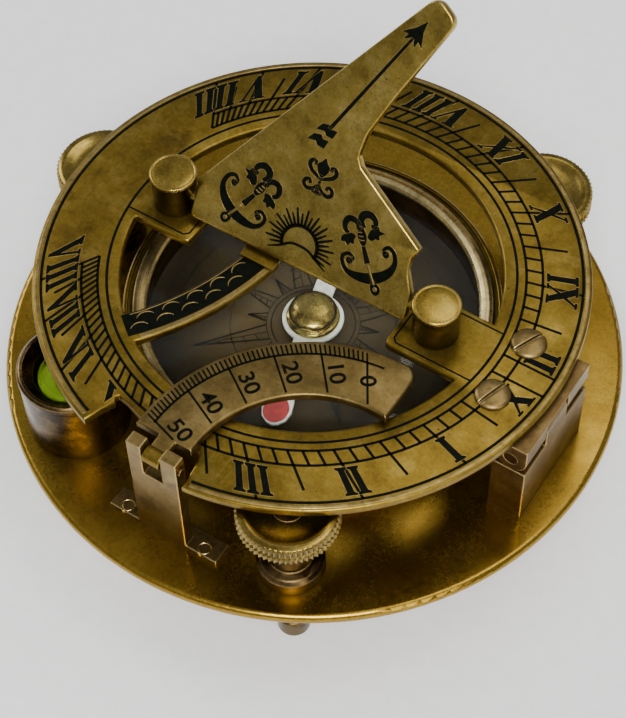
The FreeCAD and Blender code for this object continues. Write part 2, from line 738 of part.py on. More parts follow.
def hinge_screws():
    """The two slotted screws that hold the hour ring on the hinge's upper leaf."""
    shapes = []
    for sign in (1, -1):
        place = Vector(d.ring_screw_x.value, d.ring_screw_y.value * sign, d.ring_top.value)
        head = Part.makeCylinder(d.ring_screw_head.value, d.ring_screw_high.value, place)
        rim = [edge for edge in head.Edges if edge.BoundBox.ZMin > place.z + 0.5]
        head = head.makeFillet(0.35, [edge for edge in rim if edge.Length > 5])
        deep = d.ring_thick.value + d.leaf_thick.value
        shank = Part.makeCylinder(d.ring_screw_shank.value, deep, place - Vector(0, 0, deep))
        wide = 3 * d.ring_screw_head.value
        slot = Part.makeBox(wide, d.slot_width.value, 0.6, Vector(-0.5 * wide, -0.5 * d.slot_width.value, 0))
        slot.rotate(Vector(), Vector(0, 0, 1), 35 - 20 * sign)
        slot.translate(place + Vector(0, 0, d.ring_screw_high.value - 0.5))
        shapes.append(head.fuse(shank).cut(slot))
    return group("hinge_screws", shapes)


# ---------------------------------------------------------------- latitude arc and its fork

def latitude_arc():
    """Quarter ring that lies on the hour ring, with a knuckle in the fork at its foot."""
    body = new_body("latitude_arc", x=d.arc_x, y=d.arc_y, z=d.arc_low)
    band = new_sketch(body, "band")
    ends = (("DistanceX", d.arc_end_x, False), ("DistanceY", d.arc_foot_y, True))
    add_band(band, size(0), size(0), (d.arc_outer, d.arc_inner), ends)
    pad(body, band, d.arc_thick)
    tab = new_sketch(body, "tab")
    left = d.slot_left + d.arc_side_gap - d.arc_x
    right = d.slot_right - d.arc_side_gap - d.arc_x
    back = d.fork_y - d.arc_y
    add_rectangle(tab, left, right, back, d.arc_foot_y + 1.0)
    pad(body, tab, d.arc_thick)
    knuckle = new_sketch(body, "knuckle", "YZ_Plane", left)
    add_circle(knuckle, back, d.arc_thick * 0.5, d.arc_knuckle)
    pad(body, knuckle, right - left)
    bore = new_sketch(body, "bore", "YZ_Plane", left - 0.5)
    add_circle(bore, back, d.arc_thick * 0.5, d.arc_pin + d.arc_fit)
    pocket(body, bore, right - left + 1.0, reverse=True)
    return body


def fork_bracket():
    """Upright fork on two feet, standing in the notch of the hour ring."""
    body = new_body("fork_bracket", y=d.fork_y, z=d.base_top)
    half = d.fork_thick * 0.5
    foot = new_sketch(body, "foot")
    add_rectangle(foot, d.fork_foot_left, d.fork_foot_right, -half, d.fork_foot_wide - half)
    pad(body, foot, d.fork_foot_thick)
    upright = new_sketch(body, "upright")
    add_rectangle(upright, d.fork_left, d.fork_right, -half, half)
    pad(body, upright, d.fork_top - d.base_top)
    slot = new_sketch(body, "slot", "XZ_Plane")
    add_rectangle(slot, d.slot_left, d.slot_right, d.slot_floor - d.base_top, d.fork_top - d.base_top + 1.0)
    pocket(body, slot)
    bore = new_sketch(body, "pin_hole", "YZ_Plane")
    add_circle(bore, 0, d.arc_pin_level - d.base_top, d.arc_pin)
    pocket(body, bore)
    holes = new_sketch(body, "screw_holes")
    for x, y in under_screw_places()[:2]:
        add_circle(holes, x, y - d.fork_y, d.under_hole)
    pocket(body, holes)
    return body


def fork_pin():
    body = new_body("fork_pin", y=d.fork_y, z=d.arc_pin_level)
    start = d.fork_left - 0.5
    sketch = new_sketch(body, "round", "YZ_Plane", start)
    add_circle(sketch, 0, 0, d.arc_pin)
    pad(body, sketch, d.fork_right - d.fork_left + 1.0)
    return body


# ---------------------------------------------------------------- the whole instrument

def build_all():
    parts = [base_plate(), under_screws()]
    for side, angle in LEVEL_ANGLES:
        parts += [level_boss(side, angle), level_knob(side, angle)]
        parts += [level_screw(side, angle), level_foot(side, angle)]
    parts += [level_cup(), level_vial()]
    parts += level_fluid_and_bubble()
    parts += [compass_box(), compass_floor(), compass_bezel(), compass_glass(), glass_seat(), dial_card()]
    parts += [needle_pivot(), compass_needle(), needle_cap()]
    parts += [hour_ring(), arm_rest()]
    parts += [gnomon_post("left", d.post_left, 1), gnomon_post("right", d.post_right, -1), gnomon()]
    parts += [hinge_upper_leaf(), hinge_lower_leaf(), hinge_pin(), hinge_screws()]
    parts += [latitude_arc(), fork_bracket(), fork_pin()]
    return parts


def check_and_export(parts):
    doc.recompute()
    for thing in doc.Objects:
        if "Invalid" in thing.State or "Error" in thing.State:
            raise RuntimeError("%s is %s" % (thing.Label, thing.State))
    os.makedirs("parts", exist_ok=True)
    for part in parts:
        shape = part.Shape
        if shape.isNull() or not shape.isValid() or not shape.Solids:
            raise RuntimeError("bad shape: " + part.Label)
        shape.exportStep("parts/%s.step" % part.Label)
        print("%-18s solids %d volume %.1f" % (part.Label, len(shape.Solids), shape.Volume))


check_and_export(build_all())
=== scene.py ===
import json
from math import asin, atan2, ceil, cos, degrees, hypot, pi, radians, remainder, sin, sqrt

import bmesh
import bpy
from mathutils import Matrix, Vector


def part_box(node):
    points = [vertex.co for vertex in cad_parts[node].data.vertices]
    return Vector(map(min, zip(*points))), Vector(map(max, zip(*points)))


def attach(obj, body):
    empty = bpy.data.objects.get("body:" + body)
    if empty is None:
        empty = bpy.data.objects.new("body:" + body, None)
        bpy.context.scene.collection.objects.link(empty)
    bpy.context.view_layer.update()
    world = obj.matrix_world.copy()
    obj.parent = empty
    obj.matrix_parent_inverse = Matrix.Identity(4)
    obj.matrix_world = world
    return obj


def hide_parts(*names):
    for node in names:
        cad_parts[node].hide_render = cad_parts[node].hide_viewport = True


# Brass sundial compass. Sizes are millimetres in the frame of the CAD model until a mesh is placed.

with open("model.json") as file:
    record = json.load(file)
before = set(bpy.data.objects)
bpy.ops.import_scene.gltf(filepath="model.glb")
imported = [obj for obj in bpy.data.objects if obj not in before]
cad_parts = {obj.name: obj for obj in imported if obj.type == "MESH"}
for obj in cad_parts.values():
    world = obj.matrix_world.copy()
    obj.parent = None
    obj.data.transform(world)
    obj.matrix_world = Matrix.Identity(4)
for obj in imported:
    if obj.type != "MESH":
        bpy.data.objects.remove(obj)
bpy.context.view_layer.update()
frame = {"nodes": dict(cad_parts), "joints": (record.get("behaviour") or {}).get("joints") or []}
MM = 0.001


def node_box(node):
    low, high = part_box(node)
    return low / MM, high / MM


# ---- places taken from the frame

RING_LOW = node_box("hour_ring")[0].z
RING_TOP = node_box("hour_ring")[1].z
RING_OUTER = node_box("hour_ring")[1].x
CARD_TOP = node_box("dial_card")[1].z
ARC_LOW = RING_TOP + 0.5
ARC_TOP = ARC_LOW + 2.0
JOINTS = {joint["name"]: joint for joint in frame["joints"]}
GNOMON_PIVOT = Vector(JOINTS["gnomon_fold"]["pos_m"]) / MM
NEEDLE_LOW = node_box("compass_needle")[0].z
NEEDLE_TOP = node_box("compass_needle")[1].z

RING_INNER = 37.8
TAB_HALF = 7.5
TAB_RIGHT = 21.2
TAB_LEFT = -24.3
ARM_CENTRE = (-67.0, 6.0)
ARM_INNER = 54.4
ARM_OUTER = 61.3
ARM_END_Y = -2.0
NOTCH_FROM = -107.9
NOTCH_TO = -82.8
ARC_CENTRE = (28.8, -47.0)
ARC_OUTER = 36.1
ARC_INNER = 23.8
GNOMON_LEAN = 60.0
GNOMON_MIDDLE = -2.2
NEEDLE_TURN = -75.0
PROUD = 0.03
SUNK = 0.2


# ---- flat outlines

def polar(radius, angle, centre=(0.0, 0.0)):
    turn = radians(angle)
    return (centre[0] + radius * cos(turn), centre[1] + radius * sin(turn))


def angle_of(point, centre=(0.0, 0.0)):
    return degrees(atan2(point[1] - centre[1], point[0] - centre[0]))


def arc(centre, radius, start, end, step=3.0):
    """Points of an arc from one angle to another, in degrees, both ends included."""
    count = max(1, ceil(abs(end - start) / step))
    return [polar(radius, start + (end - start) * i / count, centre) for i in range(count + 1)]


def circle(centre, radius, count=48):
    return [polar(radius, 360.0 * i / count, centre) for i in range(count)]


def smooth(points, steps=6, closed=False):
    """Catmull-Rom curve through the points, each of which may have further values after x and y."""
    count = len(points)
    result = []
    spans = count if closed else count - 1
    for i in range(spans):
        if closed:
            four = [points[(i + k) % count] for k in (-1, 0, 1, 2)]
        else:
            four = [points[min(max(i + k, 0), count - 1)] for k in (-1, 0, 1, 2)]
        for step in range(steps):
            t = step / steps
            weights = (
                0.5 * (-t + 2 * t * t - t ** 3), 0.5 * (2 - 5 * t * t + 3 * t ** 3),
                0.5 * (t + 4 * t * t - 3 * t ** 3), 0.5 * (-t * t + t ** 3),
            )
            result.append(tuple(sum(w * p[k] for w, p in zip(weights, four)) for k in range(len(four[0]))))
    if not closed:
        result.append(tuple(points[-1]))
    return result


def side_vectors(points, closed):
    """For each point of a line, the vector to its left that keeps a parallel line parallel."""
    result = []
    count = len(points)
    for i in range(count):
        before = points[i - 1] if closed or i > 0 else None
        after = points[(i + 1) % count] if closed or i < count - 1 else None
        here = Vector(points[i][:2])
        first = (here - Vector(before[:2])).normalized() if before else None
        second = (Vector(after[:2]) - here).normalized() if after else None
        first = first or second
        second = second or first
        along = (first + second).normalized() if (first + second).length > 1e-6 else first
        share = max(0.5, along.dot(first))
        result.append(Vector((-along.y, along.x)) / share)
    return result


def ribbon(points, steps=6):
    """Outline round a smooth centre line whose points are (x, y, half width)."""
    line = smooth(points, steps)
    sides = side_vectors(line, False)
    left = [(p[0] + s.x * p[2], p[1] + s.y * p[2]) for p, s in zip(line, sides)]
    right = [(p[0] - s.x * p[2], p[1] - s.y * p[2]) for p, s in zip(line, sides)]
    return left + right[::-1]


def signed_area(loop):
    """Twice the area inside a closed outline; negative where the outline runs clockwise."""
    return sum(a[0] * b[1] - b[0] * a[1] for a, b in zip(loop, loop[1:] + loop[:1]))


def mirrored(loop, middle, lift=0.0):
    return [(2 * middle - x, y + lift) for x, y in loop][::-1]


def round_corners(points, radii, step=15.0):
    """Closed outline with each corner replaced by an arc of its own radius; 0 keeps it sharp."""
    result = []
    count = len(points)
    for i in range(count):
        here, radius = Vector(points[i]), radii[i]
        to_before = (Vector(points[i - 1]) - here).normalized()
        to_after = (Vector(points[(i + 1) % count]) - here).normalized()
        opening = to_before.angle(to_after)
        if radius <= 0 or opening > pi - 0.05:
            result.append(tuple(here))
            continue
        reach = radius / sin(opening / 2)
        middle = here + (to_before + to_after).normalized() * reach
        along = reach * cos(opening / 2)
        first = here + to_before * along - middle
        last = here + to_after * along - middle
        start = angle_of(first)
        turn = (angle_of(last) - start + 180.0) % 360.0 - 180.0
        result += arc(tuple(middle), radius, start, start + turn, step)
    return result


def where_circles_meet(centre, radius, other_radius):
    """The lower meeting point of a circle with another one about the origin, as an angle at each."""
    distance = hypot(*centre)
    along = (distance ** 2 + other_radius ** 2 - radius ** 2) / (2 * distance)
    across = sqrt(other_radius ** 2 - along ** 2)
    unit = Vector(centre) / distance
    first = unit * along + Vector((-unit.y, unit.x)) * across
    second = unit * along - Vector((-unit.y, unit.x)) * across
    point = min((first, second), key=lambda p: p.y)
    return angle_of(point), angle_of(point, centre)


# ---- meshes

def add_object(name, data):
    item = bpy.data.objects.new(name, data)
    bpy.context.scene.collection.objects.link(item)
    return item


def mesh_of_curve(curve):
    """Turns a curve into a mesh and removes the curve."""
    holder = add_object("outline", curve)
    bpy.context.view_layer.update()
    mesh = bpy.data.meshes.new_from_object(holder.evaluated_get(bpy.context.evaluated_depsgraph_get()))
    bpy.data.objects.remove(holder)
    bpy.data.curves.remove(curve)
    return mesh


class Mould:
    """A mesh in the making, in millimetres."""

    def __init__(self):
        self.bm = bmesh.new()

    def prism(self, loop, low, high):
        bottom = [self.bm.verts.new((x, y, low)) for x, y in loop]
        top = [self.bm.verts.new((x, y, high)) for x, y in loop]
        self.bm.faces.new(top)
        self.bm.faces.new(bottom[::-1])
        for i in range(len(loop)):
            j = (i + 1) % len(loop)
            self.bm.faces.new((bottom[i], bottom[j], top[j], top[i]))

    def sweep(self, path, profile, closed=False):
        """Draws a closed profile of (across, up) points along a flat line."""
        sides = side_vectors(path, closed)
        rows = [
            [self.bm.verts.new((p[0] + s.x * across, p[1] + s.y * across, up)) for across, up in profile]
            for p, s in zip(path, sides)
        ]
        count = len(profile)
        for i in range(len(rows) if closed else len(rows) - 1):
            row, following = rows[i], rows[(i + 1) % len(rows)]
            for k in range(count):
                m = (k + 1) % count
                self.bm.faces.new((row[k], row[m], following[m], following[k]))
        if not closed:
            self.bm.faces.new(rows[0])
            self.bm.faces.new(rows[-1][::-1])

    def line(self, path, width, low, high, closed=False):
        half = width / 2
        self.sweep(path, [(-half, low), (-half, high), (half, high), (half, low)], closed)

    def lip(self, loop, level, width=0.22, high=0.05):
        """Low raised edge outside a closed outline."""
        outward = -width if signed_area(loop) > 0 else width
        self.sweep(loop, [(0.0, level - 0.1), (outward * 0.45, level + high), (outward, level - 0.1)], True)

    def lathe(self, profile, centre=(0.0, 0.0), count=96, closed=False, wave=None):
        """Turns a profile of (radius, height) round an upright axis; wave changes the radius."""
        rows = []
        for radius, height in profile:
            if radius < 1e-6:
                rows.append([self.bm.verts.new((centre[0], centre[1], height))])
                continue
            row = []
            for i in range(count):
                here = wave(radius, i) if wave else radius
                row.append(self.bm.verts.new((*polar(here, 360.0 * i / count, centre), height)))
            rows.append(row)
        pairs = list(zip(rows, rows[1:])) + ([(rows[-1], rows[0])] if closed else [])
        for a, b in pairs:
            for i in range(count):
                j = (i + 1) % count
                corners = [a[i % len(a)], a[j % len(a)], b[j % len(b)], b[i % len(b)]]
                corners = list(dict.fromkeys(corners))
                if len(corners) > 2:
                    self.bm.faces.new(corners)

    def add_mesh(self, mesh):
        self.bm.from_mesh(mesh)
        bpy.data.meshes.remove(mesh)

    def place(self, name, material, body, at=None, sharp=35.0, replaces=(), slot="antique_brass"):
        """Finishes the mesh as a piece that rides on a body."""
        bmesh.ops.recalc_face_normals(self.bm, faces=self.bm.faces)
        mesh = bpy.data.meshes.new(name)
        self.bm.to_mesh(mesh)
        self.bm.free()
        mesh.transform(Matrix.Scale(MM, 4) @ (at or Matrix.Identity(4)))
        for polygon in mesh.polygons:
            polygon.use_smooth = True
        mesh.set_sharp_from_angle(angle=radians(sharp))
        mesh.materials.append(material)
        piece = add_object(name, mesh)
        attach(piece, body)
        if replaces:
            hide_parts(*replaces)
        return piece


def plate(loops, low, high, bevel, resolution=2):
    """Flat plate from closed outlines, inner ones as holes, with every edge rounded."""
    curve = bpy.data.curves.new("outline", "CURVE")
    curve.dimensions = "2D"
    curve.fill_mode = "BOTH"
    curve.extrude = (high - low) / 2 - bevel
    curve.bevel_depth = bevel
    curve.bevel_resolution = resolution
    curve.offset = -bevel
    for loop in loops:
        spline = curve.splines.new("POLY")
        spline.points.add(len(loop) - 1)
        for point, (x, y) in zip(spline.points, loop):
            point.co = (x, y, 0.0, 1.0)
        spline.use_cyclic_u = True
    mesh = mesh_of_curve(curve)
    mesh.transform(Matrix.Translation((0, 0, (low + high) / 2)))
    mould = Mould()
    mould.add_mesh(mesh)
    bmesh.ops.remove_doubles(mould.bm, verts=mould.bm.verts, dist=1e-4)
    return mould


def bolder(loop, amount):
    """The outline moved outwards."""
    shift = -amount if signed_area(loop) > 0 else amount
    return [(p[0] + v.x * shift, p[1] + v.y * shift) for p, v in zip(loop, side_vectors(loop, True))]


def engraving(name, loops, level, body, at=None, lips=True):
    """Black-filled shapes in a face, each with its own low bright edge."""
    fill = Mould()
    for loop in loops:
        fill.prism(loop, level - SUNK, level + PROUD)
    fill.place(name, ENAMEL, body, at)
    if lips:
        # The lips are a low raised burr in lighter brass; the lighter colour is painted highlight along the
        # engraved edges.
        edge = Mould()
        for loop in loops:
            edge.lip(loop, level)
        edge.place(name + "_edges", PALE_BRASS, body, at)


# ---- materials

class Paint:
    """Node tree of one material."""

    def __init__(self, name):
        self.material = bpy.data.materials.new(name)
        self.material.use_nodes = True
        self.tree = self.material.node_tree
        self.shader = self.tree.nodes["Principled BSDF"]
        self.output = self.tree.nodes["Material Output"]
        self.coords = self.tree.nodes.new("ShaderNodeTexCoord").outputs["Object"]

    def put(self, socket, value):
        if isinstance(value, bpy.types.NodeSocket):
            self.tree.links.new(value, socket)
        else:
            socket.default_value = value

    def add(self, kind, out=0, settings=(), **values):
        node = self.tree.nodes.new("ShaderNode" + kind)
        for key, value in dict(settings).items():
            setattr(node, key, value)
        for key, value in values.items():
            name = key.replace("_", " ")
            socket = node.inputs[int(key[1:])] if key[0] == "i" and key[1:].isdigit() else node.inputs[name]
            self.put(socket, value)
        return node.outputs[out]

    def shade(self, **values):
        """Sets inputs of the surface shader."""
        for key, value in values.items():
            self.put(self.shader.inputs[key.replace("_", " ")], value)

    def times(self, a, b):
        return self.math("MULTIPLY", a, b)

    def noise(self, scale, detail=4.0, roughness=0.6, stretch=None, turn=0.0):
        coords = self.coords
        if stretch:
            coords = self.add("Mapping", Vector=coords, Scale=stretch, Rotation=(0.0, 0.0, turn))
        return self.add("TexNoise", Vector=coords, Scale=scale, Detail=detail, Roughness=roughness)

    def ramp(self, value, stops):
        node = self.tree.nodes.new("ShaderNodeValToRGB")
        band = node.color_ramp
        while len(band.elements) < len(stops):
            band.elements.new(0.5)
        for element, (place, colour) in zip(band.elements, stops):
            element.position = place
            element.color = (*colour, 1.0) if isinstance(colour, tuple) else (colour, colour, colour, 1.0)
        self.put(node.inputs[0], value)
        return node.outputs[0]

    def math(self, operation, a, b=0.0, clamp=False):
        return self.add("Math", settings={"operation": operation, "use_clamp": clamp}, i0=a, i1=b)

    def mix(self, share, first, second, blend="MIX"):
        node = self.tree.nodes.new("ShaderNodeMix")
        node.data_type = "RGBA"
        node.blend_type = blend
        for socket, value in ((node.inputs[0], share), (node.inputs[6], first), (node.inputs[7], second)):
            if isinstance(value, tuple) and len(value) == 3:
                value = (*value, 1.0)
            self.put(socket, value)
        return node.outputs[2]

    def scratches(self, turn, fineness):
        """Thin broken lines in one direction: 1 on a scratch."""
        streak = self.noise(1.0, 2.0, 0.5, (fineness, fineness * 0.02, fineness * 0.4), turn)
        line = self.ramp(streak, [(0.66, 0.0), (0.70, 1.0)])
        patch = self.ramp(self.noise(90.0, 2.0), [(0.45, 0.0), (0.62, 1.0)])
        return self.times(line, patch)

    def edge_wear(self, soft):
        """1 on convex and concave edges, where a rounded normal leaves the face's own."""
        hard = self.add("NewGeometry", out="Normal")
        same = self.add("VectorMath", out="Value", settings={"operation": "DOT_PRODUCT"}, i0=soft, i1=hard)
        return self.ramp(self.math("SUBTRACT", 1.0, same), [(0.01, 0.0), (0.12, 1.0)])

    def crevices(self, distance):
        """1 where ambient occlusion finds nearby geometry: corners, hollows and gaps between parts."""
        open_share = self.add("AmbientOcclusion", out="AO", settings={"samples": 6}, Distance=distance)
        return self.ramp(open_share, [(0.25, 1.0), (0.85, 0.0)])

    def bump(self, height, strength, distance, normal=None):
        values = {"Height": height, "Strength": strength, "Distance": distance}
        if normal is not None:
            values["Normal"] = normal
        return self.add("Bump", **values)


def brass(name, light, body, dark, rough=(0.26, 0.46), grime_and_shade=0.75, wear_and_highlight=0.6, mottle=60.0, edge=0.0003,
          specks=1.0):
    """Polished brass gone over with patina: cloudy tone, specks, fine scratches, edges lightened as wear and
    as painted highlight, corners darkened as patina and as painted shade.
    """
    p = Paint(name)
    cloud = p.noise(mottle, 7.0, 0.62)
    tone = p.ramp(cloud, [(0.30, dark), (0.46, body), (0.58, body), (0.72, light)])
    patch = p.noise(mottle * 3.2, 5.0, 0.6)
    tone = p.mix(p.ramp(patch, [(0.50, 0.0), (0.66, 0.62)]), tone, light)
    tone = p.mix(p.ramp(patch, [(0.33, 0.55), (0.46, 0.0)]), tone, dark)
    grain = p.noise(1500.0, 3.0, 0.7)
    tone = p.mix(0.38, tone, p.ramp(grain, [(0.3, 0.30), (0.7, 1.1)]), "MULTIPLY")
    blotch = p.ramp(p.noise(420.0, 5.0, 0.55), [(0.60, 0.0), (0.72, 1.0)])
    tone = p.mix(p.times(blotch, 0.45 * specks), tone, dark)
    speck = p.add("TexVoronoi", out="Distance", settings={"feature": "F1"}, Vector=p.coords, Scale=520.0)
    speck = p.ramp(speck, [(0.07, 1.0), (0.13, 0.0)])
    speck = p.times(speck, p.ramp(p.noise(150.0), [(0.52, 0.0), (0.62, 0.8 * specks)]))
    tone = p.mix(speck, tone, tuple(0.35 * c for c in dark))
    # Painted shade: darker where ambient occlusion finds corners and nearby parts, partly patina in the
    # hollows.
    corner = p.times(p.crevices(0.0035), grime_and_shade)
    tone = p.mix(corner, tone, tuple(0.22 * c for c in dark))
    soft = p.add("Bevel", settings={"samples": 6}, Radius=edge)
    rim = p.times(p.edge_wear(soft), wear_and_highlight)
    rim = p.times(rim, p.math("SUBTRACT", 1.0, p.crevices(0.0012)))
    # Edges lighter both as rubbed wear and as painted highlight where the light catches them.
    tone = p.mix(rim, tone, tuple(min(1.0, 1.7 * c) for c in light))
    lines = p.math("MAXIMUM", p.scratches(0.6, 2600.0), p.scratches(-0.9, 3300.0))
    tone = p.mix(p.times(lines, 0.35), tone, light)
    low, high = rough
    spread = p.add("MapRange", Value=cloud, From_Min=0.35, From_Max=0.7, To_Min=high, To_Max=low)
    spread = p.math("ADD", spread, p.times(corner, 0.25))
    spread = p.math("ADD", spread, p.times(p.math("SUBTRACT", grain, 0.5), 0.12))
    spread = p.math("SUBTRACT", spread, p.times(rim, 0.08), clamp=True)
    height = p.math("SUBTRACT", p.times(grain, 0.35), p.times(lines, 0.5))
    height = p.math("SUBTRACT", height, p.times(speck, 1.2))
    normal = p.bump(p.noise(240.0, 3.0), 0.10, 0.00025, p.bump(height, 0.22, 0.00004, soft))
    p.shade(Base_Color=tone, Roughness=spread, Normal=normal, Metallic=1.0)
    return p.material


def painted(name, colour, darker, roughness, grain=900.0, relief=0.00003, gloss=0.5, chip=0.0,
            chip_colour=(0, 0, 0), rim_shade=None):
    """Enamel or paint with a slightly uneven film; it may be chipped, or darker away from the axis as painted
    shade.
    """
    p = Paint(name)
    film = p.noise(grain, 4.0, 0.6)
    tone = p.mix(p.ramp(film, [(0.35, 0.0), (0.65, 1.0)]), darker, colour)
    # Painted shade: the paint is darker where ambient occlusion finds corners and nearby parts.
    tone = p.mix(p.times(p.crevices(0.003), 0.5), tone, tuple(0.4 * c for c in darker))
    if rim_shade:
        # Painted shade: darker towards the card's edge, standing for the ring's shadow and the dark
        # reflection in the glass above it.
        flat = p.add("VectorMath", settings={"operation": "MULTIPLY"}, i0=p.coords, i1=(1.0, 1.0, 0.0))
        reach = p.add("VectorMath", out="Value", settings={"operation": "LENGTH"}, i0=flat)
        reach = p.add("MapRange", Value=reach, From_Min=rim_shade[0], From_Max=rim_shade[1], To_Min=0.0, To_Max=0.9)
        tone = p.mix(reach, tone, tuple(0.3 * c for c in darker))
    if chip:
        bare = p.ramp(p.noise(520.0, 5.0, 0.65), [(1.0 - chip, 0.0), (1.04 - chip, 1.0)])
        tone = p.mix(bare, tone, chip_colour)
    low, high = roughness
    p.shade(Base_Color=tone, Roughness=p.add("MapRange", Value=film, To_Min=low, To_Max=high),
            Normal=p.bump(film, 0.3, relief), Specular_IOR_Level=gloss)
    return p.material


def clear(name, tint, roughness, ior=1.45):
    """Glass that lets the lamps through, with faint smears in its gloss."""
    p = Paint(name)
    smear = p.noise(120.0, 5.0, 0.6)
    low, high = roughness
    p.shade(Base_Color=(*tint, 1.0), Roughness=p.add("MapRange", Value=smear, To_Min=low, To_Max=high),
            Transmission_Weight=1.0, IOR=ior)
    shadow = p.add("LightPath", out="Is Shadow Ray")
    through = p.tree.nodes.new("ShaderNodeBsdfTransparent")
    through.inputs["Color"].default_value = (*tint, 1.0)
    mixed = p.tree.nodes.new("ShaderNodeMixShader")
    p.put(mixed.inputs[0], shadow)
    p.put(mixed.inputs[1], p.shader.outputs[0])
    p.put(mixed.inputs[2], through.outputs[0])
    p.put(p.output.inputs["Surface"], mixed.outputs[0])
    return p.material


FACE_BRASS = brass("face_brass", (0.34, 0.235, 0.050), (0.235, 0.152, 0.022), (0.105, 0.064, 0.012))
DARK_BRASS = brass("dark_brass", (0.26, 0.155, 0.055), (0.105, 0.058, 0.020), (0.035, 0.018, 0.007), wear_and_highlight=0.8)
BASE_BRASS = brass("base_brass", (0.43, 0.275, 0.042), (0.34, 0.205, 0.027), (0.25, 0.145, 0.018),
                   rough=(0.20, 0.34), mottle=32.0, specks=0.2)
FORK_BRASS = brass("fork_brass", (0.40, 0.29, 0.115), (0.26, 0.175, 0.060), (0.10, 0.060, 0.020),
                   wear_and_highlight=1.0, edge=0.0005)
# Brass darkened nearly to black with lighter edges: dark patina deepened into painted shade on the level cup,
# the feet and bosses, and the sides of the posts.
SHADED_BRASS = brass("shaded_brass", (0.22, 0.145, 0.055), (0.028, 0.015, 0.006), (0.010, 0.005, 0.002),
                  rough=(0.22, 0.36), wear_and_highlight=1.0, mottle=40.0, edge=0.0006)
HINGE_BRASS = brass("hinge_brass", (0.32, 0.215, 0.085), (0.185, 0.115, 0.040), (0.075, 0.042, 0.014),
                    wear_and_highlight=1.0, edge=0.0005)
GOLD_BRASS = brass("gold_brass", (0.50, 0.355, 0.090), (0.37, 0.250, 0.045), (0.17, 0.100, 0.020),
                   rough=(0.20, 0.34), grime_and_shade=0.6)
BRIGHT_BRASS = brass("bright_brass", (0.84, 0.68, 0.22), (0.74, 0.57, 0.15), (0.42, 0.29, 0.06),
                     rough=(0.08, 0.15), grime_and_shade=0.5, mottle=200.0, specks=0.3)
# Painted light: pale brass that lifts the compass bezel out of the ring's shadow.
LIT_RIM_BRASS = brass("lit_rim_brass", (0.80, 0.66, 0.33), (0.62, 0.49, 0.22), (0.30, 0.215, 0.08),
                  rough=(0.22, 0.36), grime_and_shade=0.7, mottle=110.0)
PALE_BRASS = brass("pale_brass", (0.48, 0.36, 0.13), (0.34, 0.24, 0.075), (0.16, 0.105, 0.030),
                  grime_and_shade=0.2, wear_and_highlight=0.2, mottle=150.0)
KNOB_BRASS = brass("knob_brass", (0.40, 0.285, 0.070), (0.26, 0.180, 0.040), (0.11, 0.070, 0.015),
                   rough=(0.18, 0.30), grime_and_shade=1.0, wear_and_highlight=0.45, edge=0.0002)
GNOMON_BRASS = brass("gnomon_brass", (0.54, 0.395, 0.110), (0.38, 0.265, 0.053), (0.18, 0.115, 0.023),
                     rough=(0.20, 0.36))
ARC_BRASS = brass("arc_brass", (0.30, 0.215, 0.080), (0.180, 0.122, 0.038), (0.085, 0.055, 0.017),
                  rough=(0.30, 0.48))
ENAMEL = painted("black_enamel", (0.0035, 0.0045, 0.0025), (0.0015, 0.002, 0.001), (0.35, 0.55), gloss=0.05,
                 chip=0.31, chip_colour=(0.04, 0.028, 0.008))
CARD = painted("card_paint", (0.060, 0.043, 0.020), (0.026, 0.019, 0.009), (0.6, 0.8), 60.0, 0.000005,
               gloss=0.1, rim_shade=(0.013, 0.030))
CARD_LINE = painted("card_line_ink", (0.004, 0.004, 0.003), (0.002, 0.002, 0.002), (0.5, 0.6), gloss=0.15)
WHITE = painted("needle_white_paint", (0.62, 0.64, 0.60), (0.46, 0.48, 0.44), (0.28, 0.42))
RED = painted("needle_red_paint", (0.30, 0.022, 0.020), (0.20, 0.012, 0.012), (0.3, 0.45))
GLASS = clear("window_glass", (0.95, 0.96, 0.93), (0.01, 0.05), 1.24)
VIAL = clear("vial_glass", (0.94, 0.97, 0.90), (0.01, 0.05), 1.24)
FLUID = painted("green_fluid", (0.34, 0.50, 0.012), (0.22, 0.36, 0.008), (0.08, 0.16), 120.0, 0.000005,
                gloss=0.2)
BUBBLE = clear("air_bubble", (0.90, 0.97, 0.80), (0.01, 0.04), 1.12)


def dress(material, *nodes):
    """Gives CAD nodes their material."""
    for name in nodes:
        mesh = frame["nodes"][name].data
        mesh.materials.clear()
        mesh.materials.append(material)


# ---- hour ring

def arm_angles(radius):
    """Where one side of the arm starts at the ring and ends, as angles about the arm's own centre."""
    _, root = where_circles_meet(ARM_CENTRE, radius, RING_INNER)
    end = degrees(asin((ARM_END_Y - ARM_CENTRE[1]) / radius))
    return root, end


def ring_outline():
    notch = [polar(r, a) for r, a in (
        (RING_OUTER, NOTCH_FROM), (50.8, NOTCH_FROM + 0.2), (48.2, NOTCH_FROM + 0.7),
        (47.4, NOTCH_FROM - 0.5), (46.7, NOTCH_FROM - 0.3), (46.45, NOTCH_FROM + 2.5), (46.8, -101.0),
        (46.5, -95.0), (46.7, -89.0), (46.5, NOTCH_TO - 2.0), (47.2, NOTCH_TO - 0.4), (49.0, NOTCH_TO),
        (RING_OUTER, NOTCH_TO))]
    return arc((0, 0), RING_OUTER, NOTCH_TO + 1.5, 360.0 + NOTCH_FROM - 1.5, 1.5) + notch


def tongue_end(tip, way):
    """Rounded end of a tongue; way is 1 where the tongue points to the left and -1 to the right."""
    curve = ((1.3, 0.0), (0.3, 0.3), (0.0, 1.3))
    corner = [(tip + way * back, way * (fall - TAB_HALF)) for back, fall in curve]
    return corner + [(x, -y) for x, y in corner[::-1]]


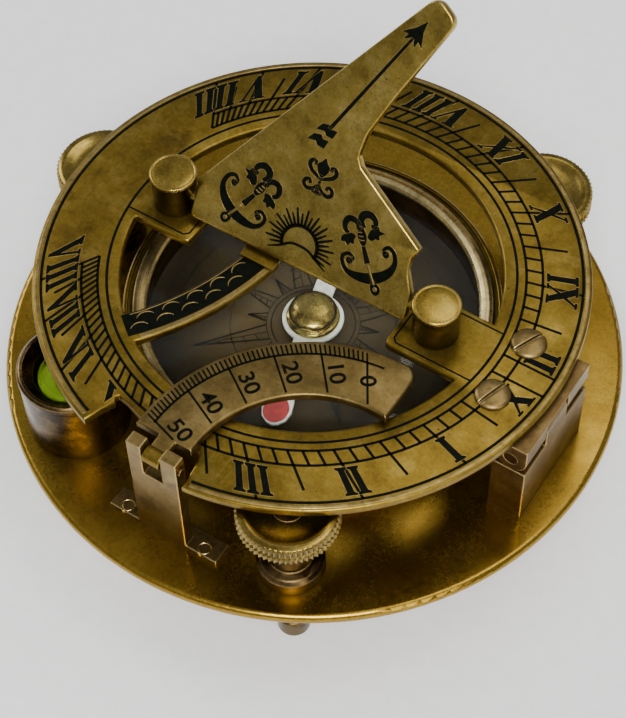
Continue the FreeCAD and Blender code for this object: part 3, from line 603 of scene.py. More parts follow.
def window_outline():
    """Inner edge of the ring with its two tongues and the curved arm."""
    root = degrees(asin(TAB_HALF / RING_INNER))
    left_root, left_root_turn = where_circles_meet(ARM_CENTRE, ARM_INNER, RING_INNER)
    right_root, right_root_turn = where_circles_meet(ARM_CENTRE, ARM_OUTER, RING_INNER)
    left_end, right_end = arm_angles(ARM_INNER)[1], arm_angles(ARM_OUTER)[1]
    return (
        arc((0, 0), RING_INNER, root, 180 - root, 2.0) + tongue_end(TAB_LEFT, -1)
        + arc((0, 0), RING_INNER, 180 + root, left_root % 360, 2.0)
        + arc(ARM_CENTRE, ARM_INNER, left_root_turn, left_end, 1.5)
        + arc(ARM_CENTRE, ARM_OUTER, right_end, right_root_turn, 1.5)
        + arc((0, 0), RING_INNER, right_root % 360, 360 - root, 2.0) + tongue_end(TAB_RIGHT, 1)
    )


def make_ring():
    ring = plate([ring_outline(), window_outline()], RING_LOW, RING_TOP, 0.42)
    ring.place("hour_ring_plate", FACE_BRASS, "dial", replaces=["hour_ring"])


HOUR_FOOT = (-27.2, 2.25)
LADDER_IN = 42.1
LADDER_OUT = 45.3
HALF_HOUR_END = 50.6
OUTER_LINE = 53.2
INNER_LINE = 40.3
RIM_LINE = 54.1
HOUR_LINE = 0.54
HOURS_SHOWN = 8
NUMERAL_TOP = 46.1
NUMERAL_HIGH = 6.15
NUMERAL_MIDDLE = 49.2
NUMERAL_LEAN = 0.75
SERIF = 0.42


def hour_point(radius, hour, side):
    """Where the line of an hour from noon crosses a circle; side is 1 for morning, -1 for afternoon."""
    foot = Vector((HOUR_FOOT[0], side * HOUR_FOOT[1]))
    way = Vector((cos(radians(15.0 * hour)), side * sin(radians(15.0 * hour))))
    share = foot.dot(way)
    return foot + way * (sqrt(share ** 2 - foot.length_squared + radius ** 2) - share)


def make_ring_lines():
    lines = Mould()
    low, high = RING_TOP - SUNK, RING_TOP + PROUD * 0.6
    gap = 1.2
    lines.line(arc((0, 0), OUTER_LINE, NOTCH_TO + gap, 360 + NOTCH_FROM - gap, 2.0), 0.58, low, high)
    lines.line(circle((0, 0), INNER_LINE, 180), HOUR_LINE, low, high, closed=True)
    for radius in (LADDER_IN, LADDER_OUT):
        ends = [angle_of(hour_point(radius, HOURS_SHOWN, side)) for side in (-1, 1)]
        lines.line(arc((0, 0), radius, *ends, 2.0), HOUR_LINE, low, high)
    for side in (-1, 1):
        for step in range(HOURS_SHOWN * 6 + 1):
            hour = step / 6
            outer = OUTER_LINE if step % 6 == 0 else HALF_HOUR_END if step % 6 == 3 else LADDER_OUT
            end = hour_point(outer, hour, side)
            turn = angle_of(end)
            if outer > LADDER_OUT and NOTCH_FROM - 0.8 < turn < NOTCH_TO + 0.8:
                outer = LADDER_OUT
            path = [tuple(hour_point(r, hour, side)) for r in (LADDER_IN, outer)]
            lines.line(path, HOUR_LINE, low, high)
    lines.place("hour_lines", ENAMEL, "dial")
    # Painted highlight: a band of lighter brass along the ring's rounded rim where it catches the light.
    rim = Mould()
    round_rim = arc((0, 0), RIM_LINE, NOTCH_TO + gap, 360 + NOTCH_FROM - gap, 1.5)
    rim.line(round_rim, 0.75, RING_TOP - 0.1, RING_TOP + 0.05)
    rim.place("hour_ring_rim_highlight", PALE_BRASS, "dial")


def numeral_i():
    quarter = [(1.08, 0.0), (1.08, 0.40), (0.62, 0.7)]
    right = quarter + [(x, NUMERAL_HIGH - y) for x, y in quarter[::-1]]
    return right + [(-x, y) for x, y in right[::-1]]


def numeral_v():
    return [(-2.85, 0), (-0.1, 0), (-0.1, SERIF), (-0.6, SERIF), (0.72, 3.9), (1.75, SERIF), (1.2, SERIF),
            (1.2, 0), (2.85, 0), (2.85, SERIF), (2.35, SERIF), (0.7, NUMERAL_HIGH), (0.05, NUMERAL_HIGH),
            (-2.4, SERIF), (-2.85, SERIF)]


def numeral_x():
    upper = [(-2.6, 0), (-0.3, 0), (-0.3, SERIF), (-0.7, SERIF), (0.34, 2.15), (1.6, SERIF), (1.1, SERIF),
             (1.1, 0), (2.5, 0), (2.5, SERIF), (2.05, SERIF), (0.62, 2.75), (2.2, NUMERAL_HIGH - SERIF),
             (2.6, NUMERAL_HIGH - SERIF)]
    return upper + [(-x, NUMERAL_HIGH - y) for x, y in upper]


LETTERS = {"I": (numeral_i(), 2.42), "V": (numeral_v(), 5.6), "X": (numeral_x(), 5.35)}
FULL_LEAN_FROM = 6
CROWDED_FROM = 7
CROWDED = 0.90


def numeral_loops(text, hour, side, shift=0.0):
    """Outlines of a Roman numeral whose letters lean with their hour line and close up where hours crowd."""
    squeeze = CROWDED if side < 0 and hour >= CROWDED_FROM else 1.0
    follow = 1.0 if hour >= FULL_LEAN_FROM else NUMERAL_LEAN
    wide = squeeze * sum(LETTERS[letter][1] for letter in text)
    middle = hour_point(NUMERAL_MIDDLE, hour, side)
    upright = atan2(middle.y, middle.x)
    x = shift - wide / 2
    loops = []
    for letter in text:
        outline, width = LETTERS[letter]
        width *= squeeze
        loop = []
        for across, down in outline:
            radius = NUMERAL_TOP + down
            centre = hour_point(radius, hour, side)
            lean = remainder(atan2(centre.y, centre.x) - upright, 2 * pi) * follow
            turn = upright + lean + (x + width / 2 + across * squeeze) / NUMERAL_MIDDLE
            loop.append(polar(radius, degrees(turn)))
        loops.append(loop)
        x += width
    return loops


def cut_at_notch(loop):
    """The part of an outline on the ring's near side of the notch; nothing where the notch took it all."""
    turns = [angle_of(point) for point in loop]
    if min(turns) > NOTCH_TO or max(turns) < NOTCH_FROM - 1.0:
        return loop
    way = polar(1.0, NOTCH_FROM - 0.9)
    beyond = [way[0] * y - way[1] * x for x, y in loop]
    result = []
    for i, (here, far) in enumerate(zip(loop, beyond)):
        following, next_far = loop[(i + 1) % len(loop)], beyond[(i + 1) % len(loop)]
        if far <= 0:
            result.append(here)
        if (far > 0) != (next_far > 0):
            share = far / (far - next_far)
            result.append(tuple(a + (b - a) * share for a, b in zip(here, following)))
    return result


def make_numerals():
    loops = numeral_loops("X", 0, -1, -3.4) + numeral_loops("II", 0, 1, 2.7)
    afternoon = ("I", "II", "III", "IIII", "V", "VI", "VII", "VIII")
    morning = ("XI", "X", "IX", "VIII", "VII", "VI", "V", "IIII")
    for side, names in ((-1, afternoon), (1, morning)):
        for hour, text in enumerate(names, start=1):
            loops += numeral_loops(text, hour, side, -2.2 if side < 0 and hour == HOURS_SHOWN else 0.0)
    kept = [cut for cut in (cut_at_notch(loop) for loop in loops) if len(cut) > 2]
    engraving("hour_numerals", kept, RING_TOP, "dial")


def make_tab_lines():
    lines = Mould()
    margin = 1.15
    half = TAB_HALF - margin
    for end, way in ((TAB_RIGHT, 1), (TAB_LEFT, -1)):
        tip = end + way * margin
        root = sqrt(INNER_LINE ** 2 - half ** 2) * way
        path = [(root, half), (tip + way * 0.9, half), (tip, half - 0.9), (tip, 0.9 - half),
                (tip + way * 0.9, -half), (root, -half)]
        lines.line(path, 0.34, RING_TOP - SUNK, RING_TOP + PROUD)
    lines.place("tongue_lines", ENAMEL, "dial")


def make_arm_face():
    """Black face of the arm with a bright border on its far side and two rows of crescents."""
    margin = 0.28
    inner_root, inner_end = arm_angles(ARM_INNER)
    outer_root, outer_end = arm_angles(ARM_OUTER)
    face = arc(ARM_CENTRE, ARM_INNER + margin, inner_root - 0.8, inner_end - 0.4, 2.0)
    face += arc(ARM_CENTRE, ARM_OUTER - 1.35, outer_end - 0.4, outer_root - 1.0, 2.0)
    engraving("arm_enamel", [face], RING_TOP, "dial", lips=False)
    bright = Mould()
    top = RING_TOP
    bright.line(arc(ARM_CENTRE, ARM_INNER + 0.6, inner_root + 1, inner_end, 2.0), 0.2, top, top + 0.08)
    bright.line(arc(ARM_CENTRE, ARM_OUTER - 0.7, outer_root + 1, outer_end, 2.0), 1.0, top, top + 0.10)
    pitch = 5.3
    for radius, offset in ((ARM_INNER + 1.8, 0.0), (ARM_INNER + 3.8, 0.5)):
        step = degrees(pitch / radius)
        count = int((inner_end - inner_root) / step)
        for i in range(count):
            turn = inner_end - 5.4 - (i + offset) * step
            middle = polar(radius + 1.3, turn, ARM_CENTRE)
            path = arc(middle, 2.1, turn + 180 - 58, turn + 180 + 58, 12.0)
            widths = [0.04 + 0.10 * sin(pi * k / (len(path) - 1)) for k in range(len(path))]
            strip = ribbon([(x, y, w) for (x, y), w in zip(path, widths)], 1)
            bright.prism(strip, top, top + 0.09)
    bright.place("arm_crescents", PALE_BRASS, "dial")


# ---- gnomon

GNOMON_FACE = 1.0


def gnomon_outline():
    """Style edge on the left, pointed arm on top, and a cusped right side."""
    corners = [(-27.2, -4.1), (22.6, -3.6), (22.3, 2.4)]
    cusp = smooth([(22.3, 2.4), (21.2, 4.4), (20.3, 6.6), (20.2, 9.0), (20.7, 10.2)], 4)[1:]
    rest = [(21.4, 11.4), (5.2, 21.6), (3.9, 23.6), (4.3, 28.2), (7.6, 37.4), (14.8, 55.2), (9.6, 58.4),
            (-27.2, 4.6)]
    radii = [1.2, 1.2, 0.4] + [0.0] * len(cusp) + [0.7, 1.2, 1.2, 6.0, 12.0, 2.3, 2.3, 2.0]
    return round_corners(corners + cusp + rest, radii)


def sun_loops():
    centre = (-2.6, 1.2)
    rays, first, last = 23, -16.0, 196.0
    inner, long, short = 3.95, 7.5, 6.5
    loops = [ribbon([(*p, 0.38) for p in arc(centre, inner, -22.0, 202.0, 14.0)], 2)]
    for i in range(rays):
        turn = first + (last - first) * i / (rays - 1)
        reach = long if i % 2 else short
        loops.append([polar(radius, turn + aside, centre) for radius, aside in (
            (inner, -4.6), (reach, -1.5), (reach + 0.2, 0.0), (reach, 1.5), (inner, 4.6))])
    horizon = [(-9.1, -2.0, 0.12), (-6.6, -0.7, 0.26), (-4.6, 0.7, 0.28), (-2.6, 1.05, 0.26),
               (-0.4, 0.8, 0.28), (1.7, -0.3, 0.28), (4.1, -1.6, 0.12)]
    loops.append(ribbon(horizon))
    return loops


def flourish_loops():
    bud = smooth([(-2.2, 20.2), (-2.75, 19.3), (-3.5, 18.6), (-3.2, 17.5), (-2.7, 16.7), (-2.2, 16.4),
                  (-1.7, 16.7), (-1.2, 17.5), (-0.9, 18.6), (-1.65, 19.3)], 3, closed=True)
    upper = ribbon([(-2.1, 15.8, 0.15), (-1.2, 16.3, 0.26), (0.1, 17.0, 0.32), (0.75, 18.0, 0.34),
                    (0.4, 18.9, 0.30), (-0.35, 18.9, 0.28), (-0.45, 18.3, 0.26)])
    lower = ribbon([(-2.1, 14.6, 0.22), (-1.2, 13.5, 0.28), (0.1, 13.1, 0.30), (0.95, 13.8, 0.30),
                    (0.7, 14.7, 0.28), (-0.1, 14.9, 0.26), (-0.4, 14.3, 0.24)])
    stem = ribbon([(-2.2, 16.6, 0.34), (-2.2, 15.2, 0.22), (-2.2, 13.0, 0.42)])
    base = ribbon([(-3.3, 13.0, 0.2), (-2.2, 12.9, 0.26), (-1.1, 13.0, 0.2)])
    sides = [upper, lower]
    return [bud, stem, base] + sides + [mirrored(loop, GNOMON_MIDDLE) for loop in sides]


def scroll_loops():
    """Crescent with curled ends, crossed by a stem that carries a banded bud, leaves and curls."""
    crescent = ribbon([
        (-19.2, 7.2, 0.30), (-18.9, 7.9, 0.28), (-19.7, 8.7, 0.30), (-21.1, 8.0, 0.34), (-21.8, 5.9, 0.46),
        (-20.9, 3.5, 0.80), (-18.6, 1.4, 1.02), (-15.9, 0.4, 0.86), (-13.2, 0.3, 0.48), (-11.6, 1.4, 0.32),
        (-11.1, 2.9, 0.30), (-12.2, 3.9, 0.28), (-13.3, 3.4, 0.26), (-13.0, 2.7, 0.26)])
    curl = ribbon([(-13.7, 10.3, 0.30), (-12.7, 11.2, 0.56), (-12.8, 12.5, 0.66), (-14.0, 13.2, 0.62),
                   (-15.3, 12.7, 0.50), (-15.8, 11.6, 0.40), (-15.1, 11.1, 0.30)])
    side_curl = ribbon([(-12.7, 9.4, 0.30), (-12.2, 10.5, 0.42), (-11.2, 10.9, 0.50), (-10.1, 10.6, 0.52),
                        (-9.7, 9.5, 0.52), (-10.0, 8.4, 0.40), (-10.8, 7.9, 0.28)])
    leaf = smooth([(-15.0, 8.8), (-15.9, 8.5), (-16.5, 9.2), (-17.3, 9.3), (-17.0, 10.1), (-17.9, 10.9),
                   (-16.9, 10.9), (-16.5, 11.6), (-15.8, 11.2), (-15.2, 10.2)], 2, closed=True)
    low_leaf = smooth([(-12.5, 7.8), (-11.6, 8.0), (-10.7, 7.4), (-9.9, 6.7), (-10.0, 5.7), (-10.8, 6.0),
                       (-11.4, 5.4), (-11.8, 6.2), (-12.5, 6.2), (-12.3, 7.0)], 2, closed=True)
    bud = ribbon([(-13.0, 10.0, 0.20), (-13.3, 9.4, 0.62), (-13.8, 8.4, 0.86), (-14.3, 7.4, 0.62),
                  (-14.6, 6.8, 0.25)])
    stem = ribbon([(-14.7, 6.5, 0.30), (-15.4, 5.4, 0.38), (-16.4, 3.8, 0.52)])
    drop = smooth([(-18.5, 1.0), (-18.4, -0.3), (-19.0, -1.4), (-19.9, -1.7), (-20.5, -1.0), (-20.3, 0.0),
                   (-19.4, 0.5)], 3, closed=True)
    tips = [circle((-19.5, 7.1), 0.62, 14), circle((-12.7, 2.6), 0.62, 14)]
    return [crescent, curl, side_curl, leaf, low_leaf, bud, stem, drop] + tips


def scroll_light_loops():
    """Bright parts left standing inside the scroll: the crossing stem, the bud's bands, the drop's bead."""
    stem = ribbon([(-16.7, 3.4, 0.22), (-17.8, 1.8, 0.26), (-19.0, 0.2, 0.22)])
    bands = [ribbon([(-14.6 + 0.5 * k, 7.9 + 0.62 * k, 0.10), (-13.9 + 0.42 * k, 7.55 + 0.7 * k, 0.13),
                     (-13.4 + 0.3 * k, 7.6 + 0.62 * k, 0.10)], 3) for k in range(3)]
    return [stem, circle((-19.5, -0.6), 0.5, 16)] + bands


def arrow_loops():
    tip, foot = Vector((9.4, 53.4)), Vector((-3.1, 26.4))
    way = (tip - foot).normalized()
    side = Vector((way.y, -way.x))

    def at(back, across):
        point = tip - way * back + side * across
        return (point.x, point.y)

    head = [(0, 0), (2.2, 0.75), (4.6, 2.35), (4.2, 1.15), (5.6, 1.3), (4.7, 0.35), (4.7, -0.35),
            (5.9, -1.3), (4.5, -1.15), (5.0, -2.35), (2.4, -0.8)]
    shaft = [(4.6, 0.27), (29.9, 0.36), (29.9, -0.36), (4.6, -0.27)]
    feather = [(0, 1.5), (0.55, 0.3), (0.1, -0.4), (1.1, -1.7), (2.9, -2.0), (1.9, -0.5), (2.3, 0.3),
               (1.8, 1.7)]
    feathers = [[(start + back, across) for back, across in feather] for start in (29.3, 32.1)]
    return [[at(*point) for point in loop] for loop in [head, shaft] + feathers]


def make_gnomon():
    at = Matrix.Translation(GNOMON_PIVOT) @ Matrix.Rotation(radians(GNOMON_LEAN), 4, "X")
    body = plate([gnomon_outline()], -GNOMON_FACE, GNOMON_FACE, 0.40)
    body.place("gnomon_plate", GNOMON_BRASS, "gnomon", at, replaces=["gnomon"])
    engraving("gnomon_sun", sun_loops(), GNOMON_FACE, "gnomon", at, lips=False)
    scroll = scroll_loops()
    light = scroll_light_loops()
    scroll += [mirrored(loop, GNOMON_MIDDLE, 0.5) for loop in scroll]
    light += [mirrored(loop, GNOMON_MIDDLE, 0.5) for loop in light]
    for name, loops in (("gnomon_scrolls", scroll), ("gnomon_flourish", flourish_loops())):
        engraving(name, [bolder(loop, 0.09) for loop in loops], GNOMON_FACE, "gnomon", at)
    engraving("gnomon_arrow", arrow_loops(), GNOMON_FACE, "gnomon", at)
    raised = Mould()
    for loop in light:
        raised.prism(loop, GNOMON_FACE, GNOMON_FACE + 0.10)
    raised.place("gnomon_scroll_lights", PALE_BRASS, "gnomon", at)
    pins = Mould()
    for start, end in ((-29.1, -26.4), (21.8, 24.5)):
        pins.lathe([(0, start), (0.75, start), (0.95, start + 0.2), (0.95, end), (0, end)], count=32)
    turn = at @ Matrix.Rotation(radians(90), 4, "Y")
    pins.place("gnomon_trunnions", GOLD_BRASS, "gnomon", turn)


# ---- posts, screws, knobs

def round_node(name):
    """Axis, radius, bottom and top of an upright round node."""
    low, high = node_box(name)
    return ((low.x + high.x) / 2, (low.y + high.y) / 2), (high.x - low.x) / 2, low.z, high.z


def off_rim(radius, top, steps):
    """Profile points from (inward, down) steps off the upper rim of a turned part."""
    return [(radius - inward, top - down) for inward, down in steps]


def make_posts():
    for side in ("left", "right"):
        centre, outer, _, top = round_node("gnomon_post_" + side)
        body = Mould()
        foot = [(0, RING_TOP), (outer - 0.45, RING_TOP), (outer - 0.25, RING_TOP + 0.35)]
        shoulder = ((0.22, 1.5), (0.05, 1.1), (0.05, 0.62), (0.5, 0.35), (outer, 0.35))
        body.lathe(foot + off_rim(outer, top, shoulder), centre)
        # Painted shade and light: the post's sides take the near-black brass and its cap a bright one, a
        # shaded and a lit copy of the same brass.
        body.place("post_%s_body" % side, SHADED_BRASS, "dial", replaces=["gnomon_post_" + side])
        cap = Mould()
        rings = ((outer, 0.5), (0.02, 0.62), (0.0, 0.42), (0.12, 0.2), (0.38, 0.12), (0.6, 0.22), (1.2, 0.10),
                 (2.6, 0.02), (outer, 0.0))
        cap.lathe(off_rim(outer, top, rings), centre)
        cap.place("post_%s_cap" % side, GOLD_BRASS, "dial", slot="bright_brass")


def slotted_head(radius, high, slot, floor):
    """Domed screw head as two halves either side of the slot, on a disc that is the slot's floor."""
    mould = Mould()
    crown = [(1.0, 0.25), (0.94, 0.6), (0.78, 0.85), (0.45, 0.97), (0.0, 1.0)]
    dome = [(0, -0.6), (radius - 0.3, -0.6), (radius, -0.3)] + [(radius * a, high * b) for a, b in crown]
    for sign in (1, -1):
        half = Mould()
        half.lathe(dome, count=64)
        cut = bmesh.ops.bisect_plane(
            half.bm, geom=half.bm.verts[:] + half.bm.edges[:] + half.bm.faces[:],
            plane_co=(0, sign * slot / 2, 0), plane_no=(0, -sign, 0), clear_outer=True)
        edges = [item for item in cut["geom_cut"] if isinstance(item, bmesh.types.BMEdge)]
        bmesh.ops.contextual_create(half.bm, geom=edges)
        mesh = bpy.data.meshes.new("half")
        half.bm.to_mesh(mesh)
        half.bm.free()
        mould.add_mesh(mesh)
    mould.lathe([(0, -0.6), (radius - 0.25, -0.6), (radius - 0.25, floor), (0, floor)], count=64)
    return mould


def make_ring_screws():
    low, high = node_box("hinge_screws")
    radius = (high.x - low.x) / 2
    x = (high.x + low.x) / 2
    y = high.y - radius
    for name, sign, turn in (("front", -1, 72.0), ("back", 1, 66.0)):
        head = slotted_head(radius, high.z - RING_TOP, 0.8, 0.1)
        at = Matrix.Translation((x, y * sign, RING_TOP)) @ Matrix.Rotation(radians(turn), 4, "Z")
        names = ["hinge_screws"] if sign < 0 else []
        head.place("ring_screw_" + name, FORK_BRASS, "dial", at, replaces=names, slot="bright_brass")


KNURLS = 60
KNURL_DEPTH = 0.50
CORNERS = ("front", "right", "left")


def make_knobs():
    """Knobs with two bands of fine knurling, a groove between them and a dished top."""
    for side in CORNERS:
        centre, outer, bottom, top = round_node("level_knob_" + side)
        middle = (bottom + top) / 2
        knurled = outer - 0.45

        def tooth(radius, index):
            return radius - (KNURL_DEPTH if index % 2 and radius > knurled else 0.0)

        underside = [(0, bottom), (outer - 2.2, bottom), (outer - 1.2, bottom + 0.2),
                     (outer - 0.5, bottom + 0.6)]
        side_wall = [(outer, bottom + 0.9), (outer, middle - 0.55), (outer - 0.5, middle - 0.25),
                     (outer - 0.8, middle), (outer - 0.5, middle + 0.25), (outer, middle + 0.55),
                     (outer, top - 0.6)]
        dished = ((0.5, 0.25), (1.1, 0.0), (1.9, 0.05), (2.6, 0.45), (4.2, 0.85), (6.2, 0.95), (outer, 0.95))
        profile = underside + side_wall + off_rim(outer, top, dished)
        knob = Mould()
        knob.lathe(profile, centre, count=2 * KNURLS, wave=tooth)
        knob.place("knob_" + side, KNOB_BRASS, "screw_" + side, sharp=28.0, replaces=["level_knob_" + side])


# ---- latitude arc

ARC_SCALE = 33.1
SCALE_POINT = (53.2, -64.0)
SCALE_START = -57.7
SCALE_PITCH = 0.819
SCALE_LAST = 50
ARC_END_X = 31.4
ARC_FOOT_Y = -48.6
FORK_Y = -52.7
TONGUE = (-2.2, 1.6)


def arc_edge(radius):
    """Where an edge of the arc ends at the tip and at the foot, as angles about the arc's centre."""
    across = ARC_END_X - ARC_CENTRE[0]
    foot = asin((ARC_CENTRE[1] - ARC_FOOT_Y) / radius)
    return degrees(atan2(sqrt(radius ** 2 - across ** 2), across)), 180 + degrees(foot)


def arc_outline():
    end_outer, foot_outer = arc_edge(ARC_OUTER)
    end_inner, foot_inner = arc_edge(ARC_INNER)
    outer = arc(ARC_CENTRE, ARC_OUTER, end_outer + 3.2, foot_outer, 1.5)
    inner = arc(ARC_CENTRE, ARC_INNER, foot_inner, end_inner + 1.0, 2.0)
    corner_y = outer[0][1]
    corner = smooth([(ARC_END_X, inner[-1][1] - 0.1), (ARC_END_X, corner_y - 4.0),
                     (ARC_END_X - 0.5, corner_y - 1.6), outer[0]], 5)[:-1]
    tongue = [(TONGUE[0], ARC_FOOT_Y), (TONGUE[0], FORK_Y), (TONGUE[1], FORK_Y), (TONGUE[1], ARC_FOOT_Y)]
    return outer + tongue + inner + corner


def scale_line(value):
    """Point on the scale arc and direction of the line for a latitude."""
    turn = radians(SCALE_START + SCALE_PITCH * value)
    way = Vector((cos(turn), sin(turn)))
    out = Vector(SCALE_POINT) - Vector(ARC_CENTRE)
    share = out.dot(way)
    back = share + sqrt(share ** 2 - out.length_squared + ARC_SCALE ** 2)
    return Vector(SCALE_POINT) - way * back, way


def digit_mesh(text, height):
    curve = bpy.data.curves.new("digits", "FONT")
    curve.body = text
    curve.size = height / 0.70
    curve.align_x = "CENTER"
    curve.align_y = "CENTER"
    curve.extrude = 0.08
    curve.offset = 0.07
    return mesh_of_curve(curve)


def make_arc():
    body = plate([arc_outline()], ARC_LOW, ARC_TOP, 0.5, 3)
    body.place("latitude_arc_plate", ARC_BRASS, "arc", replaces=["latitude_arc"])
    knuckle = Mould()
    knuckle.lathe([(0.95, TONGUE[0]), (1.55, TONGUE[0]), (1.7, TONGUE[0] + 0.15), (1.7, TONGUE[1] - 0.15),
                   (1.55, TONGUE[1]), (0.95, TONGUE[1])], count=48, closed=True)
    axis = Matrix.Translation((0, FORK_Y, (ARC_LOW + ARC_TOP) / 2)) @ Matrix.Rotation(radians(90), 4, "Y")
    knuckle.place("latitude_arc_knuckle", FACE_BRASS, "arc", axis)
    lines = Mould()
    low, high = ARC_TOP - SUNK, ARC_TOP + PROUD
    ends = []
    for value in range(SCALE_LAST + 1):
        start, way = scale_line(value)
        lines.line([tuple(start), tuple(start - way * 2.25)], 0.36, low, high)
        if value % 10 == 0:
            far = start + way * (9.0 if value else 9.6)
            while (far - Vector(ARC_CENTRE)).length < ARC_INNER + 0.7 or far.y < ARC_FOOT_Y + 0.3:
                far -= way * 0.2
            lines.line([tuple(start), tuple(far)], 0.42, low, high)
        ends.append(angle_of(start, ARC_CENTRE) % 360)
    lines.line(arc(ARC_CENTRE, ARC_SCALE, ends[0] - 6.0, ends[-1] + 0.5, 2.0), 0.46, low, high)
    lines.place("latitude_lines", ENAMEL, "arc")
    digits = Mould()
    for value in range(0, SCALE_LAST + 1, 10):
        start, way = scale_line(value)
        up = Vector((-way.y, way.x))
        middle = start + way * (4.6 if value else 4.2) + up * (2.15 if value else 0.0)
        turn = Matrix.Rotation(atan2(way.y, way.x), 4, "Z")
        mesh = digit_mesh(str(value), 3.0)
        mesh.transform(Matrix.Diagonal((1.2, 1.0, 1.0, 1.0)))
        mesh.transform(Matrix.Translation((middle.x, middle.y, ARC_TOP - 0.04)) @ turn)
        digits.add_mesh(mesh)
    bmesh.ops.remove_doubles(digits.bm, verts=digits.bm.verts, dist=1e-4)
    digits.place("latitude_digits", ENAMEL, "arc")


# ---- compass

def make_needle():
    """Flat painted needle with a round middle, a red mark near its north end and a turned cap."""
    at = Matrix.Rotation(radians(NEEDLE_TURN), 4, "Z")
    length, half, hub = 27.0, 2.2, 6.3
    join = degrees(asin(1.5 / hub))
    tip = ((0.0, 0.0), (0.4, 1.2), (1.6, 2.5), (3.6, 3.1), (6.2, 2.8), (9.0, half))
    side = [(length - back, wide) for back, wide in tip]
    right = side + arc((0, 0), hub, join + 6.0, 180 - join - 6.0, 6.0)
    left_side = [(-x, y) for x, y in side[::-1]]
    upper = right + left_side
    outline = upper + [(x, -y) for x, y in upper[::-1][1:-1]]
    needle = plate([outline, circle((0, 0), 1.5, 32)], NEEDLE_LOW, NEEDLE_TOP, 0.2)
    needle.place("needle_blade", WHITE, "needle", at, replaces=["compass_needle"], slot="needle_white")
    mark = Mould()
    oval = [(23.5 + 3.1 * x, -0.1 + 2.6 * y) for x, y in circle((0, 0), 1.0, 40)]
    mark.prism(oval, NEEDLE_TOP - 0.1, NEEDLE_TOP + 0.06)
    mark.place("needle_red_mark", RED, "needle", at, slot="needle_white")
    top = node_box("needle_cap")[1].z
    cap = Mould()
    turned = [(1.3, 0.0), (5.35, 0.0), (5.5, 0.15), (5.5, 0.55), (5.3, 0.85), (4.8, 1.0), (4.65, 1.2),
              (4.85, 1.5), (4.95, 2.1), (4.75, 2.6), (4.2, 3.0), (3.3, 3.35)]
    crown = [(2.2, top - 0.03), (0, top), (0, top - 1.9), (0.9, top - 2.8)]
    cap.lathe([(radius, NEEDLE_TOP + height) for radius, height in turned] + crown, closed=True)
    cap.place("needle_cap_turned", BRIGHT_BRASS, "needle", replaces=["needle_cap"], slot="bright_brass")


ROSE_ROOT = 9.6
DEGREE_IN = 28.4
DEGREE_OUT = 31.2


def make_card():
    """Compass rose and degree ring on the dial card."""
    lines = Mould()
    low, high = CARD_TOP - 0.1, CARD_TOP + 0.03
    rings = ((8.6, 0.30), (ROSE_ROOT, 0.18), (17.0, 0.18), (DEGREE_IN, 0.25), (DEGREE_OUT, 0.25))
    for radius, width in rings:
        lines.line(circle((0, 0), radius, 120), width, low, high, closed=True)
    for step in range(72):
        turn = 5.0 * step
        start = DEGREE_IN if step % 2 == 0 else 29.8
        lines.line([polar(start, turn), polar(DEGREE_OUT, turn)], 0.22, low, high)
    for step in range(16):
        turn = 22.5 * step + NEEDLE_TURN + 30.0
        reach = (24.8, 13.6, 18.6, 13.6)[step % 4]
        wide = (11.0, 6.0, 9.0, 6.0)[step % 4]
        tip = polar(reach, turn)
        for sign in (1, -1):
            lines.line([polar(ROSE_ROOT, turn + sign * wide), tip], 0.36, low, high)
        lines.line([polar(ROSE_ROOT, turn), tip], 0.18, low, high)
        for k in range(1, 5):
            near = ROSE_ROOT + (reach - ROSE_ROOT) * k / 6
            spread = wide * (1 - k / 6)
            lines.line([polar(near, turn), polar(near - 0.4, turn + spread)], 0.24, low, high)
    lines.place("card_rose", CARD_LINE, "root", slot="dial_card")


# ---- finish of the carried-over parts

def dress_cad():
    dress(BASE_BRASS, "base_plate")
    dress(SHADED_BRASS, "level_cup")
    for side in CORNERS:
        dress(SHADED_BRASS, "level_foot_" + side, "level_boss_" + side)
        dress(DARK_BRASS, "level_screw_" + side)
    dress(DARK_BRASS, "glass_seat", "hinge_pin", "fork_pin")
    dress(FACE_BRASS, "compass_box", "compass_floor", "arm_rest")
    dress(HINGE_BRASS, "hinge_upper_leaf", "hinge_lower_leaf")
    dress(FORK_BRASS, "fork_bracket", "under_screws")
    dress(LIT_RIM_BRASS, "compass_bezel")
    dress(BRIGHT_BRASS, "needle_pivot")
    dress(CARD, "dial_card")
    dress(GLASS, "compass_glass")
    dress(VIAL, "level_vial")
    dress(FLUID, "level_fluid")
    dress(BUBBLE, "level_bubble")


# ---- studio

def make_floor():
    p = Paint("pale_floor")
    grain = p.noise(260.0, 5.0)
    tone = p.mix(p.ramp(grain, [(0.4, 0.0), (0.6, 1.0)]), (0.93, 0.93, 0.92), (0.96, 0.96, 0.95))
    p.shade(Base_Color=tone, Roughness=0.85)
    mesh = bpy.data.meshes.new("studio_floor")
    half = 3.0
    corners = [(-half, -half, 0), (half, -half, 0), (half, half, 0), (-half, half, 0)]
    mesh.from_pydata(corners, [], [(0, 1, 2, 3)])
    mesh.materials.append(p.material)
    floor = add_object("studio_floor", mesh)


def add_light(name, place, target, size, power, colour=(1.0, 1.0, 1.0)):
    data = bpy.data.lights.new(name, "AREA")
    data.shape = "RECTANGLE"
    data.size, data.size_y = size
    data.energy = power
    data.color = colour
    light = add_object(name, data)
    light.location = place
    light.rotation_euler = (Vector(target) - Vector(place)).to_track_quat("-Z", "Y").to_euler()


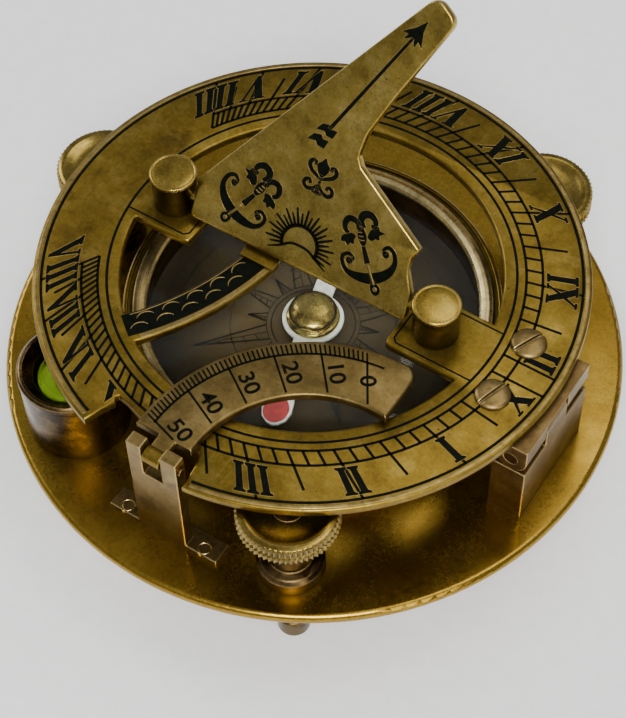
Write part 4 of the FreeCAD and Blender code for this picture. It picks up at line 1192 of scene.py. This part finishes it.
def make_lights():
    middle = (0.0, 0.0, 0.04)
    add_light("softbox_top", (0.25, 0.15, 0.90), middle, (0.35, 0.35), 1.6, (1.0, 0.97, 0.92))
    add_light("softbox_left", (-0.75, 0.10, 0.50), middle, (0.30, 0.50), 2.4)
    add_light("softbox_sheen", (-0.02, 0.20, 0.46), (0.04, -0.01, 0.05), (0.16, 0.16), 0.24,
              (1.0, 0.98, 0.94))
    add_light("softbox_front", (0.40, -0.60, 0.96), middle, (0.40, 0.40), 15.0)
    add_light("softbox_right", (0.65, -0.30, 0.35), middle, (0.20, 0.45), 1.3, (1.0, 0.98, 0.95))
    world = bpy.data.worlds.new("studio")
    bpy.context.scene.world = world
    world.use_nodes = True
    sky = world.node_tree.nodes["Background"].inputs
    sky["Color"].default_value = (0.92, 0.95, 1.0, 1.0)
    sky["Strength"].default_value = 0.38


VIEW_TURN = 34.213
VIEW_HEIGHT = 52.938
VIEW_DISTANCE = 7.2018 * RING_OUTER
VIEW_ROLL = -1.742
VIEW_TARGET = (0.2162 * RING_OUTER, -0.3263 * RING_OUTER)
LENS = 100.97


def make_camera():
    turn, rise, roll = radians(VIEW_TURN), radians(VIEW_HEIGHT), radians(VIEW_ROLL)
    target = Vector((*VIEW_TARGET, RING_TOP))
    back = Vector((sin(turn) * cos(rise), -cos(turn) * cos(rise), sin(rise)))
    place = Vector((0, 0, RING_TOP)) + back * VIEW_DISTANCE
    ahead = (target - place).normalized()
    right = ahead.cross(Vector((0, 0, 1))).normalized()
    up = right.cross(ahead)
    rolled_right = right * cos(roll) + up * sin(roll)
    rolled_up = up * cos(roll) - right * sin(roll)
    data = bpy.data.cameras.new("camera")
    data.sensor_width = 36.0
    data.lens = LENS
    data.clip_start = 0.01
    camera = add_object("camera", data)
    rotation = Matrix((rolled_right, rolled_up, -ahead)).transposed().to_4x4()
    camera.matrix_world = Matrix.Translation(place * MM) @ rotation
    bpy.context.scene.camera = camera


make_ring()
make_ring_lines()
make_numerals()
make_tab_lines()
make_arm_face()
make_gnomon()
make_posts()
make_ring_screws()
make_knobs()
make_arc()
make_needle()
make_card()
dress_cad()
make_floor()
make_lights()
make_camera()
